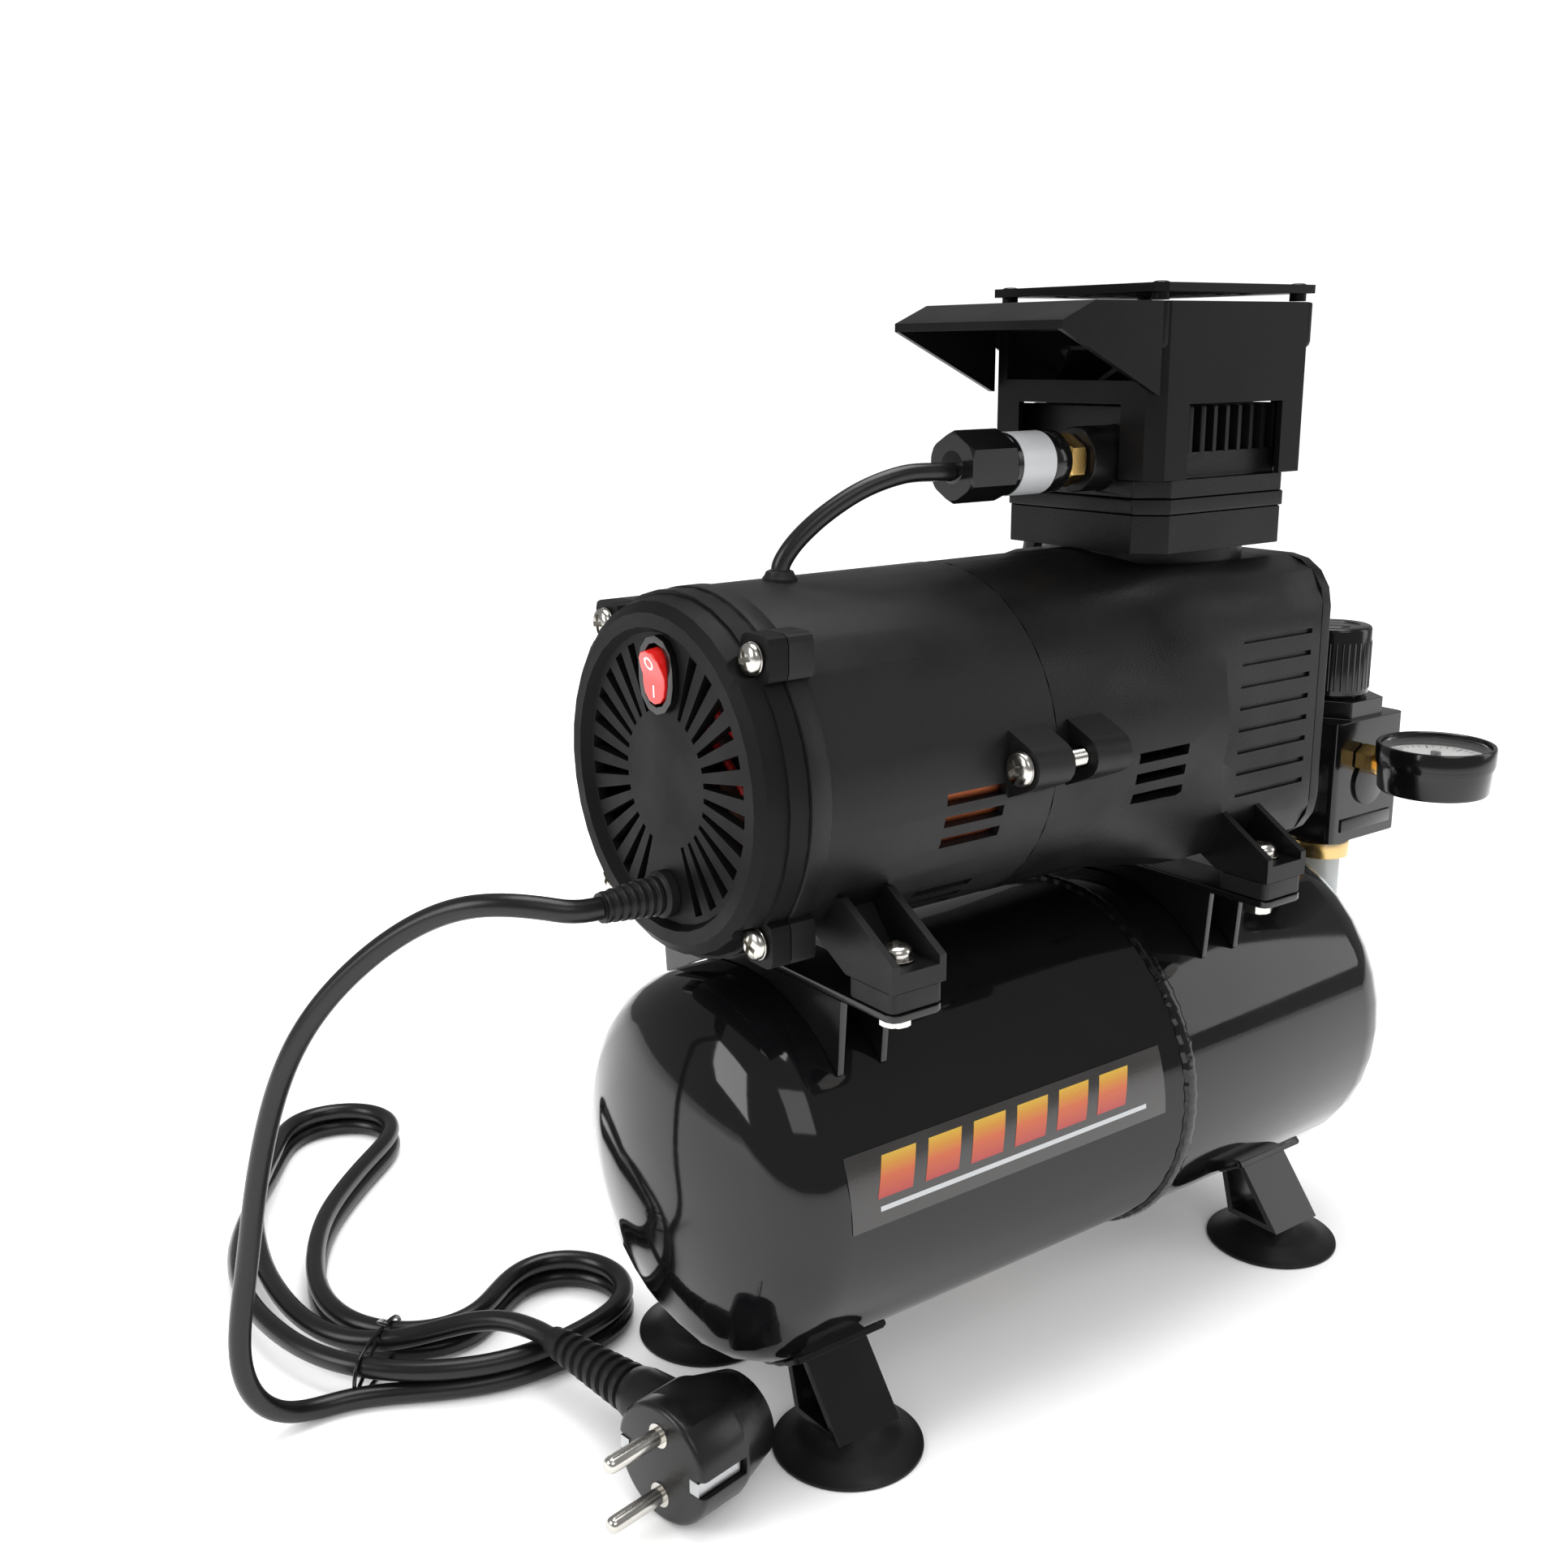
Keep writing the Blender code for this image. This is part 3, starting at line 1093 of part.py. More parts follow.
def rotor():
    """Armature, cooling disc, shaft and crank disc with its pin straight up."""
    low, high = STATOR_X - STATOR_LENGTH / 2, STATOR_X + STATOR_LENGTH / 2
    shaft_low = COVER_FACE_X + 2 * COVER_WALL + PLAY
    disc_end = CRANK_DISC_X + CRANK_DISC_THICKNESS
    blower = high + BLOWER_X
    blower_radius = SHELL_INNER - BLOWER_INSET
    shoulder = BULKHEAD_X - 3 * MM
    profile = [(0, shaft_low), (BEARING_RADIUS, shaft_low), (BEARING_RADIUS, low), (ARMATURE_RADIUS, low),
               (ARMATURE_RADIUS, high), (BEARING_RADIUS * 2, high), (BEARING_RADIUS * 2, blower),
               (blower_radius, blower), (blower_radius, blower + BLOWER_THICKNESS),
               (BEARING_RADIUS * 2, blower + BLOWER_THICKNESS), (BEARING_RADIUS * 2, shoulder),
               (BEARING_RADIUS, shoulder), (BEARING_RADIUS, CRANK_DISC_X),
               (CRANK_DISC_RADIUS, CRANK_DISC_X), (CRANK_DISC_RADIUS, disc_end), (0, disc_end)]
    shape = turn(profile, "X", ROUND_SIDES, (0, 0, MOTOR_AXIS_Z))
    pin_end = HEAD_X - ROD_THICKNESS / 2 - PLAY
    pin = disc(CRANK_PIN_RADIUS, "X", disc_end - SINK, pin_end, (0, 0, MOTOR_AXIS_Z + CRANK_THROW),
               SMALL_SIDES)
    part("rotor", join(shape, pin), dark_steel(), (CRANK_DISC_X, 0, MOTOR_AXIS_Z))


FLANGE_LOW_Z = NECK_TOP_Z + GAP
FLANGE_TOP_Z = FLANGE_LOW_Z + FLANGE_HEIGHT
VALVE_LOW_Z = FLANGE_TOP_Z + GAP
VALVE_TOP_Z = VALVE_LOW_Z + VALVE_PLATE_HEIGHT
HEAD_LOW_Z = VALVE_TOP_Z + GAP
HEAD_BASE_Z = HEAD_LOW_Z + HEAD_BASE_HEIGHT


def piston():
    """Wobble piston with its rod, at the top of its stroke. The rod's eye stands beside the pin."""
    top = FLANGE_TOP_Z - PISTON_TOP_GAP
    eye = MOTOR_AXIS_Z + CRANK_THROW
    low, high = HEAD_X - ROD_THICKNESS / 2, HEAD_X + ROD_THICKNESS / 2
    crown = disc(PISTON_RADIUS, "Z", top - PISTON_HEIGHT, top, (HEAD_X, 0, 0), ROUND_SIDES)
    rod = block((low, -ROD_HALF_WIDTH, eye + ROD_EYE_RADIUS / 2),
                (high, ROD_HALF_WIDTH, top - PISTON_HEIGHT + SINK))
    ring = disc(ROD_EYE_RADIUS, "X", low, high, (0, 0, eye), COLLAR_SIDES)
    bore = disc(CRANK_PIN_RADIUS + SHAFT_PLAY, "X", low - SINK, high + SINK, (0, 0, eye), SMALL_SIDES)
    part("piston", cut(join(crown, rod, ring), bore), aluminium(), (HEAD_X, 0, eye))


# ---------------------------------------------------------------- cylinder, head and fan

def head_block(half, chamfer, low, high):
    return at(extrude(chamfered_square(half, chamfer), "Z", low, high), HEAD_X)


def cylinder():
    flange = head_block(FLANGE_HALF, FLANGE_CHAMFER, FLANGE_LOW_Z, FLANGE_TOP_Z)
    bore = PISTON_RADIUS + PLAY
    centre = (HEAD_X, 0, 0)
    sleeve_low = FLANGE_TOP_Z - PISTON_TOP_GAP - PISTON_HEIGHT - 2 * CRANK_THROW - 4 * MM
    sleeve = disc(bore + SLEEVE_WALL, "Z", sleeve_low, FLANGE_LOW_Z + SINK, centre)
    hole = disc(bore, "Z", sleeve_low - SINK, FLANGE_TOP_Z + SINK, centre)
    part("cylinder", cut(join(flange, sleeve), hole), satin_black_paint())


def valve_plate():
    shape = head_block(FLANGE_HALF + 0.5 * MM, FLANGE_CHAMFER, VALVE_LOW_Z, VALVE_TOP_Z)
    ports = [disc(2.5 * MM, "Z", VALVE_LOW_Z - SINK, VALVE_TOP_Z + SINK, (HEAD_X, y, 0), SMALL_SIDES)
             for y in (-9 * MM, 9 * MM)]
    part("valve_plate", cut(shape, *ports), satin_black_paint())


def cylinder_head():
    """Base plate, fins standing across it and the boss for the pressure switch."""
    base = head_block(FLANGE_HALF, FLANGE_CHAMFER, HEAD_LOW_Z, HEAD_BASE_Z)
    half_row = FIN_PITCH * (FIN_COUNT - 1) / 2 + FIN_THICKNESS / 2
    root = HEAD_BASE_Z + FIN_ROOT
    outline = [(HEAD_BASE_Z - SINK, -half_row)]
    for fin in range(FIN_COUNT):
        start = -half_row + fin * FIN_PITCH
        outline += [(HEAD_BASE_Z + FIN_HEIGHT, start), (HEAD_BASE_Z + FIN_HEIGHT, start + FIN_THICKNESS)]
        if fin < FIN_COUNT - 1:
            outline += [(root, start + FIN_THICKNESS), (root, start + FIN_PITCH)]
    outline.append((HEAD_BASE_Z - SINK, half_row))
    fins = extrude(shifted(outline, 0, HEAD_X), "Y", -FIN_HALF_LENGTH, FIN_HALF_LENGTH)
    boss = disc(BOSS_RADIUS, "X", BOSS_X, HEAD_X - half_row + 2 * SINK, SENSOR_AXIS, COLLAR_SIDES)
    part("cylinder_head", join(base, fins, boss), satin_black_paint())


SENSOR_AXIS = (0, SWITCH_Y, HEAD_BASE_Z + SWITCH_AXIS_RISE)
SHROUD_LOW_Z = HEAD_BASE_Z + GAP
SHROUD_TOP_Z = SHROUD_LOW_Z + SHROUD_HEIGHT
STRUT_LOW_Z = HEAD_BASE_Z + FIN_HEIGHT + 1 * MM
FAN_LOW_Z = STRUT_LOW_Z + STRUT_HEIGHT + 2 * MM


def hood():
    """Air deflector on the -X face: flat top, drooping lip and two triangular cheeks."""
    wall = HEAD_X - SHROUD_HALF
    top = SHROUD_TOP_Z
    lip = (HEAD_X - SHROUD_HALF - HOOD_REACH, top - HOOD_DROP)
    flat = HEAD_X - SHROUD_HALF - HOOD_FLAT
    skin = [(wall + SINK, top), (flat, top), lip, (lip[0], lip[1] - HOOD_SKIN), (flat, top - HOOD_SKIN),
            (wall + SINK, top - HOOD_SKIN)]
    cheek = [(wall + SINK, top), (flat, top), lip, (lip[0], lip[1] - HOOD_SKIN), (wall, top - CHEEK_HEIGHT),
             (wall + SINK, top - CHEEK_HEIGHT)]
    shape = extrude([(z, x) for x, z in skin], "Y", -SHROUD_HALF, SHROUD_HALF)
    for low in (-SHROUD_HALF, SHROUD_HALF - SHROUD_WALL):
        shape = join(shape, extrude([(z, x) for x, z in cheek], "Y", low, low + SHROUD_WALL))
    return shape


def shroud():
    """Box round the head, open below, with the fan's ring on top and the hood on one side."""
    centre = (HEAD_X, 0, 0)
    box = head_block(SHROUD_HALF, SHROUD_CHAMFER, SHROUD_LOW_Z, SHROUD_TOP_Z)
    box = join(box, hood())
    ceiling = SHROUD_TOP_Z - SHROUD_WALL
    room = head_block(SHROUD_HALF - SHROUD_WALL, SHROUD_CHAMFER, SHROUD_LOW_Z - SINK, ceiling)
    fan_hole = disc(FAN_HOLE_RADIUS, "Z", ceiling - SHROUD_WALL, SHROUD_TOP_Z + SINK, centre, BIG_SIDES)
    box = cut(cut(box, room), fan_hole)
    top = SHROUD_LOW_Z + WINDOW_HEIGHT
    reach = SHROUD_HALF + SINK
    along = block((HEAD_X - reach, -WINDOW_HALF, SHROUD_LOW_Z - SINK), (HEAD_X + reach, WINDOW_HALF, top))
    across = block((HEAD_X - WINDOW_HALF, -reach, SHROUD_LOW_Z - SINK), (HEAD_X + WINDOW_HALF, reach, top))
    hood_window = block((HEAD_X - reach, -HOOD_WINDOW_HALF, SHROUD_TOP_Z - HOOD_WINDOW_LOW),
                        (HEAD_X, HOOD_WINDOW_HALF, SHROUD_TOP_Z - HOOD_WINDOW_HIGH))
    box = cut(box, join(along, across), hood_window)
    length = SHROUD_HALF - SHROUD_WALL / 2
    half = STRUT_WIDTH / 2
    strut_top = STRUT_LOW_Z + STRUT_HEIGHT
    for low, high in (((-length, -half), (length, half)), ((-half, -length), (half, length))):
        bar = block((HEAD_X + low[0], low[1], STRUT_LOW_Z), (HEAD_X + high[0], high[1], strut_top))
        box = join(box, bar)
    hub = disc(FAN_HUB_RADIUS, "Z", STRUT_LOW_Z, strut_top, centre, COLLAR_SIDES)
    part("shroud", join(box, hub), black_plastic())


def guard():
    """Square finger guard with ring slots, on four corner posts."""
    low = SHROUD_TOP_Z + GUARD_GAP
    top = low + GUARD_THICKNESS
    shape = head_block(GUARD_HALF, 3 * MM, low, top)
    post = GUARD_HALF - GUARD_POST_INSET
    for x_side in (-1, 1):
        for y_side in (-1, 1):
            centre = (HEAD_X + x_side * post, y_side * post, 0)
            bar = disc(GUARD_POST_RADIUS, "Z", SHROUD_TOP_Z + GAP, low + SINK, centre, SMALL_SIDES)
            shape = join(shape, bar)
    cutters = []
    for ring in range(GUARD_RINGS):
        inner = GUARD_RING_START + ring * GUARD_RING_PITCH
        outer = inner + GUARD_RING_SLOT
        for quarter in range(4):
            margin_in = math.degrees(GUARD_SPOKE_HALF / inner)
            margin_out = math.degrees(GUARD_SPOKE_HALF / outer)
            start = 90 * quarter + 45
            steps = 3 + ring
            slot = arc((0, 0), inner, start + margin_in, start + 90 - margin_in, steps)
            slot += arc((0, 0), outer, start + 90 - margin_out, start + margin_out, steps)
            cutters.append(at(extrude(slot, "Z", low - SINK, top + SINK), HEAD_X))
    part("fan_guard", cut(shape, *cutters), black_plastic())


def fan_rotor():
    centre = (HEAD_X, 0, 0)
    shape = disc(FAN_HUB_RADIUS, "Z", FAN_LOW_Z, FAN_LOW_Z + FAN_HEIGHT, centre, COLLAR_SIDES)
    middle = FAN_LOW_Z + FAN_HEIGHT / 2
    chord = (FAN_HEIGHT - 4 * MM) / math.sin(math.radians(FAN_PITCH))
    for blade in range(FAN_BLADES):
        vane = block((FAN_HUB_RADIUS - 2 * MM, -chord / 2, -FAN_BLADE_THICKNESS / 2),
                     (FAN_RADIUS - 1.5 * MM, chord / 2, FAN_BLADE_THICKNESS / 2))
        pitch = Matrix.Rotation(math.radians(FAN_PITCH), 4, "X")
        round_axis = Matrix.Rotation(math.tau * blade / FAN_BLADES, 4, "Z")
        place = Matrix.Translation((HEAD_X, 0, middle)) @ round_axis @ pitch
        shape = join(shape, moved(vane, place))
    part("fan_rotor", shape, black_plastic(), (HEAD_X, 0, middle))


# ---------------------------------------------------------------- pressure switch

def pressure_switch():
    """Hexagonal cap, round body and brass foot, along X from the head's boss."""
    foot_end = BOSS_X - GAP
    hex_start = foot_end - SENSOR_HEX_LENGTH
    start = foot_end - SENSOR_LENGTH
    profile = [(0, start + 2 * MM), (SENSOR_RADIUS - 1 * MM, start + 2 * MM), (SENSOR_RADIUS, start + 3 * MM),
               (SENSOR_RADIUS, hex_start - 2.5 * MM), (SENSOR_RADIUS - 2 * MM, hex_start), (0, hex_start)]
    body = turn(profile, "X", COLLAR_SIDES, SENSOR_AXIS)
    cap = hexagon(SENSOR_RADIUS * 1.14, "X", start, start + SENSOR_CAP_LENGTH, SENSOR_AXIS)
    foot = hexagon(SENSOR_HEX_RADIUS, "X", hex_start - SINK, foot_end, SENSOR_AXIS)
    part("pressure_switch", join(body, cap, foot), shiny_plastic())


def switch_lead():
    """Lead from the pressure switch's cap down through the top of the motor shell."""
    start = BOSS_X - GAP - SENSOR_LENGTH - GAP
    z = SENSOR_AXIS[2] - 1.5 * MM
    top = MOTOR_AXIS_Z + BARREL_RADIUS + GAP
    y = SENSOR_AXIS[1]
    run = start - LEAD_DROP_X
    route = [(start, y, z), (start - 0.12 * run, y, z + 0.3 * MM), (start - 0.32 * run, y * 0.86, z),
             (start - 0.54 * run, y * 0.62, z - 3.5 * MM), (start - 0.74 * run, y * 0.38, z - 9.5 * MM),
             (start - 0.9 * run, y * 0.17, z - 16.5 * MM), (LEAD_DROP_X + 0.6 * MM, y * 0.04, z - 23 * MM),
             (LEAD_DROP_X, 0, top)]
    tube("switch_lead", route, LEAD_RADIUS, black_rubber(), 3)


# ---------------------------------------------------------------- regulator and pipes

REG_TOP_Z = REG_BOTTOM_Z + REG_HEIGHT
COLLAR_TOP_Z = REG_TOP_Z + RING_NUT_HEIGHT + COLLAR_HEIGHT
KNOB_LOW_Z = REG_TOP_Z + RING_NUT_HEIGHT + 1 * MM
PORT_RADIUS = 5 * MM
REG_CENTRE = (REG_X, 0, 0)


def regulator_body():
    """Block with the ring nut and collar on top, ports in three sides and a socket below."""
    outline = rounded_rectangle(REG_HALF_X, REG_HALF_Y, 3 * MM, 2)
    shape = at(extrude(outline, "Z", REG_BOTTOM_Z, REG_TOP_Z), REG_X)
    nut = hexagon(RING_NUT_RADIUS, "Z", REG_TOP_Z - SINK, REG_TOP_Z + RING_NUT_HEIGHT, REG_CENTRE)
    collar = disc(COLLAR_RADIUS, "Z", REG_TOP_Z, COLLAR_TOP_Z, REG_CENTRE, COLLAR_SIDES)
    shape = join(shape, nut, collar)
    spring_room = disc(SPINDLE_RADIUS + PLAY, "Z", COLLAR_TOP_Z - SPINDLE_DEPTH - PLAY, COLLAR_TOP_Z + SINK,
                       REG_CENTRE, COLLAR_SIDES)
    socket = disc(BOWL_RADIUS - BOWL_WALL, "Z", REG_BOTTOM_Z - SINK, REG_BOTTOM_Z + SOCKET_DEPTH, REG_CENTRE)
    level = (0, 0, PORT_Z)
    back, front = REG_X - REG_HALF_X, REG_X + REG_HALF_X
    inlet = disc(PORT_RADIUS, "X", back - SINK, back + PORT_DEPTH, level, SMALL_SIDES)
    outlet = disc(PORT_RADIUS, "X", front - PORT_DEPTH, front + SINK, level, SMALL_SIDES)
    gauge_port = disc(PORT_RADIUS - 2 * MM, "Y", -REG_HALF_Y - SINK, PORT_DEPTH - REG_HALF_Y,
                      (GAUGE_X, 0, GAUGE_PORT_Z), SMALL_SIDES)
    part("regulator_body", cut(shape, spring_room, socket, inlet, outlet, gauge_port), shiny_plastic())


GAUGE_PORT_Z = GAUGE_BOTTOM_Z + 6.5 * MM


def adjusting_screw():
    head_low = COLLAR_TOP_Z + PLAY
    profile = [(0, COLLAR_TOP_Z - SPINDLE_DEPTH), (SPINDLE_RADIUS, COLLAR_TOP_Z - SPINDLE_DEPTH),
               (SPINDLE_RADIUS, head_low), (SPINDLE_HEAD_RADIUS, head_low),
               (SPINDLE_HEAD_RADIUS, head_low + SPINDLE_HEAD_HEIGHT), (0, head_low + SPINDLE_HEAD_HEIGHT)]
    part("adjusting_screw", turn(profile, "Z", COLLAR_SIDES, REG_CENTRE), brass(), (REG_X, 0, head_low))


def knob():
    """Cap over the collar and the screw's head. It lifts on the screw and turns with it."""
    top = KNOB_LOW_Z + KNOB_HEIGHT
    inner = KNOB_RADIUS - KNOB_WALL
    ceiling = COLLAR_TOP_Z + PLAY + SPINDLE_HEAD_HEIGHT + PLAY
    profile = [(0, ceiling), (inner, ceiling), (inner, KNOB_LOW_Z), (KNOB_RADIUS, KNOB_LOW_Z),
               (KNOB_RADIUS, top - 1 * MM), (KNOB_RADIUS - 1 * MM, top), (KNOB_RADIUS * 0.62, top),
               (KNOB_RADIUS * 0.62, top - 0.6 * MM), (0, top - 0.6 * MM)]
    part("knob", turn(profile, "Z", ROUND_SIDES, REG_CENTRE), shiny_plastic(), (REG_X, 0, KNOB_LOW_Z))


def bowl():
    top = REG_BOTTOM_Z - GAP
    low = top - BOWL_HEIGHT
    hole = DRAIN_PIN_RADIUS + PLAY
    inner = BOWL_RADIUS - BOWL_WALL
    profile = [(hole, low), (BOWL_RADIUS - 5 * MM, low), (BOWL_RADIUS - 1.5 * MM, low + 4 * MM),
               (BOWL_RADIUS, top), (inner, top), (inner - 1.5 * MM, low + 5 * MM),
               (inner - 5 * MM, low + BOWL_WALL), (hole, low + BOWL_WALL)]
    part("bowl", turn(profile, "Z", ROUND_SIDES, REG_CENTRE), clear_plastic())


def bowl_drain():
    """Push-up drain pin through the bottom of the bowl, held by its collar inside."""
    low = REG_BOTTOM_Z - GAP - BOWL_HEIGHT
    button_top = low - DRAIN_TRAVEL - GAP
    collar_low = low + BOWL_WALL + GAP
    button_low = button_top - DRAIN_BUTTON_HEIGHT
    collar_top = collar_low + 3 * MM
    profile = [(0, button_low), (DRAIN_BUTTON_RADIUS, button_low), (DRAIN_BUTTON_RADIUS, button_top),
               (DRAIN_PIN_RADIUS, button_top), (DRAIN_PIN_RADIUS, collar_low), (DRAIN_BUTTON_RADIUS, collar_low),
               (DRAIN_BUTTON_RADIUS, collar_top), (0, collar_top)]
    part("bowl_drain", turn(profile, "Z", SMALL_SIDES, REG_CENTRE), brass(), (REG_X, 0, button_top))


def gauge():
    """Pressure gauge with its dial up: case, lens, needle and the stem to the regulator."""
    centre = (GAUGE_X, GAUGE_Y, 0)
    top = GAUGE_BOTTOM_Z + GAUGE_HEIGHT
    dial_z = top - DIAL_DEPTH
    inner = GAUGE_RADIUS - GAUGE_WALL
    step = top - 6 * MM
    case = [(0, GAUGE_BOTTOM_Z), (GAUGE_RADIUS - 2.5 * MM, GAUGE_BOTTOM_Z),
            (GAUGE_RADIUS - 1.2 * MM, GAUGE_BOTTOM_Z + 1.5 * MM), (GAUGE_RADIUS - 0.6 * MM, step),
            (GAUGE_RADIUS, step), (GAUGE_RADIUS, top), (inner, top), (inner, dial_z), (0, dial_z)]
    part("gauge_case", turn(case, "Z", ROUND_SIDES, centre), shiny_plastic())
    lens_top = top - LENS_INSET
    lens = disc(inner - GAP, "Z", lens_top - LENS_THICKNESS, lens_top, centre)
    part("gauge_lens", lens, clear_plastic())
    needle_low = dial_z + GAP
    hub = disc(1.8 * MM, "Z", needle_low, needle_low + 2 * NEEDLE_THICKNESS, centre, SMALL_SIDES)
    angle = math.radians(NEEDLE_REST)
    outline = [(-NEEDLE_TAIL, -0.9 * MM), (NEEDLE_LENGTH, -0.25 * MM), (NEEDLE_LENGTH, 0.25 * MM),
               (-NEEDLE_TAIL, 0.9 * MM)]
    pointer = extrude(outline, "Z", needle_low + NEEDLE_THICKNESS / 2, needle_low + NEEDLE_THICKNESS * 1.5)
    pointer = moved(pointer, Matrix.Translation(centre) @ Matrix.Rotation(angle, 4, "Z"))
    part("gauge_needle", join(hub, pointer), dark_steel(), (GAUGE_X, GAUGE_Y, needle_low))
    case_side = GAUGE_Y + GAUGE_RADIUS
    level = (GAUGE_X, 0, GAUGE_PORT_Z)
    stem = disc(STEM_RADIUS - 1.2 * MM, "Y", case_side + GAP, -REG_HALF_Y - GAP, level, COLLAR_SIDES)
    nut = hexagon(STEM_RADIUS + 1 * MM, "Y", case_side + 2 * MM, -REG_HALF_Y - 2 * GAP, level)
    part("gauge_stem", join(stem, nut), brass())


def outlet_nipple():
    start = REG_X + REG_HALF_X + GAP
    level = (0, 0, PORT_Z)
    end = start + NIPPLE_LENGTH
    nipple = disc(NIPPLE_RADIUS, "X", start + 1 * MM, end, level, COLLAR_SIDES)
    nut = hexagon(NIPPLE_HEX_RADIUS, "X", start, start + NIPPLE_HEX_LENGTH, level)
    bore = disc(NIPPLE_BORE, "X", start - SINK, end + SINK, level, COLLAR_SIDES)
    part("outlet_nipple", cut(join(nut, nipple), bore), nickel())


def supply_pipe():
    """Pipe from the tank's crown up and over into the regulator's inlet."""
    end = REG_X - REG_HALF_X - GAP
    route = [(SUPPLY_X, 0, CROWN_Z + GAP), (SUPPLY_X, 0, CROWN_Z + 5 * MM),
             (SUPPLY_X + 0.6 * MM, 0, PORT_Z - 11 * MM), (SUPPLY_X + 4 * MM, 0, PORT_Z - 3.6 * MM),
             (SUPPLY_X + 11.5 * MM, 0, PORT_Z - 0.3 * MM), (end - 6 * MM, 0, PORT_Z), (end, 0, PORT_Z)]
    tube("supply_pipe", route, PIPE_RADIUS, dark_steel(), 3)


def delivery_pipe():
    """Pipe from the head's far side down to the tank's shoulder."""
    x = DELIVERY_X
    z = FLANGE_LOW_Z + FLANGE_HEIGHT / 2
    start = FLANGE_HALF + GAP
    angle = math.radians(DELIVERY_ANGLE)
    normal = Vector((0, math.sin(angle), math.cos(angle)))
    foot = Vector((x, 0, TANK_AXIS_Z)) + normal * (TANK_RADIUS + GAP)
    y = DELIVERY_Y
    route = [(x, start, z), (x, start + 9 * MM, z), (x, y - 11 * MM, z - 3 * MM), (x, y - 3 * MM, z - 11 * MM),
             (x, y, z - 26 * MM), (x, y, z - 60 * MM), (x, y, foot.z + 48 * MM),
             (x, y - 3.5 * MM, foot.z + 32 * MM), foot + normal * 18 * MM, foot + normal * 8 * MM, foot]
    tube("delivery_pipe", route, PIPE_RADIUS, black_rubber(), 3)


# ---------------------------------------------------------------- mains cord, bundle and plug

def mains_cord():
    gland_tip = Vector((COVER_FACE_X - GLAND_LENGTH, 0, MOTOR_AXIS_Z + GLAND_Z))
    tank_back = Vector((-TANK_LENGTH / 2, 0, 0))
    route = [gland_tip + Vector(point) * MM for point in CORD_START]
    route += [tank_back + Vector(point) * MM for point in CORD_FALL]
    tube("mains_cord", route, CORD_RADIUS, black_rubber(), CORD_SAMPLES, 3)


def cord_bundle():
    """Bent strip with round ends, the outer shape of the tied runs of cord."""
    tank_back = Vector((-TANK_LENGTH / 2, 0))
    start, end = (tank_back + Vector(point) * MM for point in BUNDLE_ENDS)
    control = 2 * (tank_back + Vector(BUNDLE_MIDDLE) * MM) - (start + end) / 2
    left, right = [], []
    for step in range(BUNDLE_STEPS + 1):
        t = step / BUNDLE_STEPS
        point = start * (1 - t) ** 2 + control * 2 * t * (1 - t) + end * t ** 2
        along = (control - start) * (1 - t) + (end - control) * t
        across = Vector((-along.y, along.x)).normalized()
        half = BUNDLE_WAIST + (BUNDLE_LOOP_RADIUS - BUNDLE_WAIST) * (2 * t - 1) ** 2
        left.append(tuple(point + across * half))
        right.append(tuple(point - across * half))
    first = start - control
    last = end - control
    heading = math.degrees(math.atan2(first.y, first.x))
    tail = math.degrees(math.atan2(last.y, last.x))
    outline = left + arc(tuple(end), BUNDLE_LOOP_RADIUS, tail + 90, tail - 90, BUNDLE_END_STEPS)[1:-1]
    outline += list(reversed(right))
    outline += arc(tuple(start), BUNDLE_LOOP_RADIUS, heading + 90, heading - 90, BUNDLE_END_STEPS)[1:-1]
    part("cord_bundle", extrude(outline, "Z", 0.2 * MM, 0.2 * MM + BUNDLE_HEIGHT), black_rubber())


def plug():
    """Angled earthed plug lying on its side, pins level, strain relief towards the bundle."""
    body = disc(PLUG_DISC_RADIUS, "X", 0, PLUG_BODY_DEPTH * 0.6, (0, 0, 0), COLLAR_SIDES)
    profile = [(0, PLUG_BODY_DEPTH * 0.5), (PLUG_DISC_RADIUS - 1 * MM, PLUG_BODY_DEPTH * 0.5),
               (PLUG_DISC_RADIUS - 5 * MM, PLUG_BODY_DEPTH), (0, PLUG_BODY_DEPTH)]
    body = join(body, turn(profile, "X", COLLAR_SIDES))
    tip = CORD_RADIUS + 1.2 * MM
    relief = [(0, 6 * MM), (PLUG_RELIEF_RADIUS, 6 * MM), (8 * MM, PLUG_DISC_RADIUS + 14 * MM),
              (6.2 * MM, PLUG_DISC_RADIUS + 18 * MM), (tip, PLUG_REACH), (0, PLUG_REACH)]
    body = join(body, turn(relief, "Y", SMALL_SIDES, (PLUG_BOSS_DEPTH, 0, 0)))
    for side in (-1, 1):
        pin = [(0, -PIN_LENGTH), (PIN_RADIUS * 0.5, -PIN_LENGTH), (PIN_RADIUS, -PIN_LENGTH + 1.4 * MM),
               (PIN_RADIUS, SINK), (0, SINK)]
        body = join(body, turn(pin, "X", SMALL_SIDES, (0, 0, side * PIN_SPACING / 2)))
    turned = Matrix.Rotation(math.radians(PLUG_YAW), 4, "Z")
    tip_at = turned @ Vector((PLUG_BOSS_DEPTH, PLUG_REACH, 0))
    place = Vector((PLUG_TIP[0] * MM - TANK_LENGTH / 2, PLUG_TIP[1] * MM, PLUG_DISC_RADIUS + PLAY)) - tip_at
    part("plug", moved(body, Matrix.Translation(place) @ turned), black_rubber())


# ---------------------------------------------------------------- assembly

CORD_PIECES = ("mains_cord", "cord_bundle", "plug")


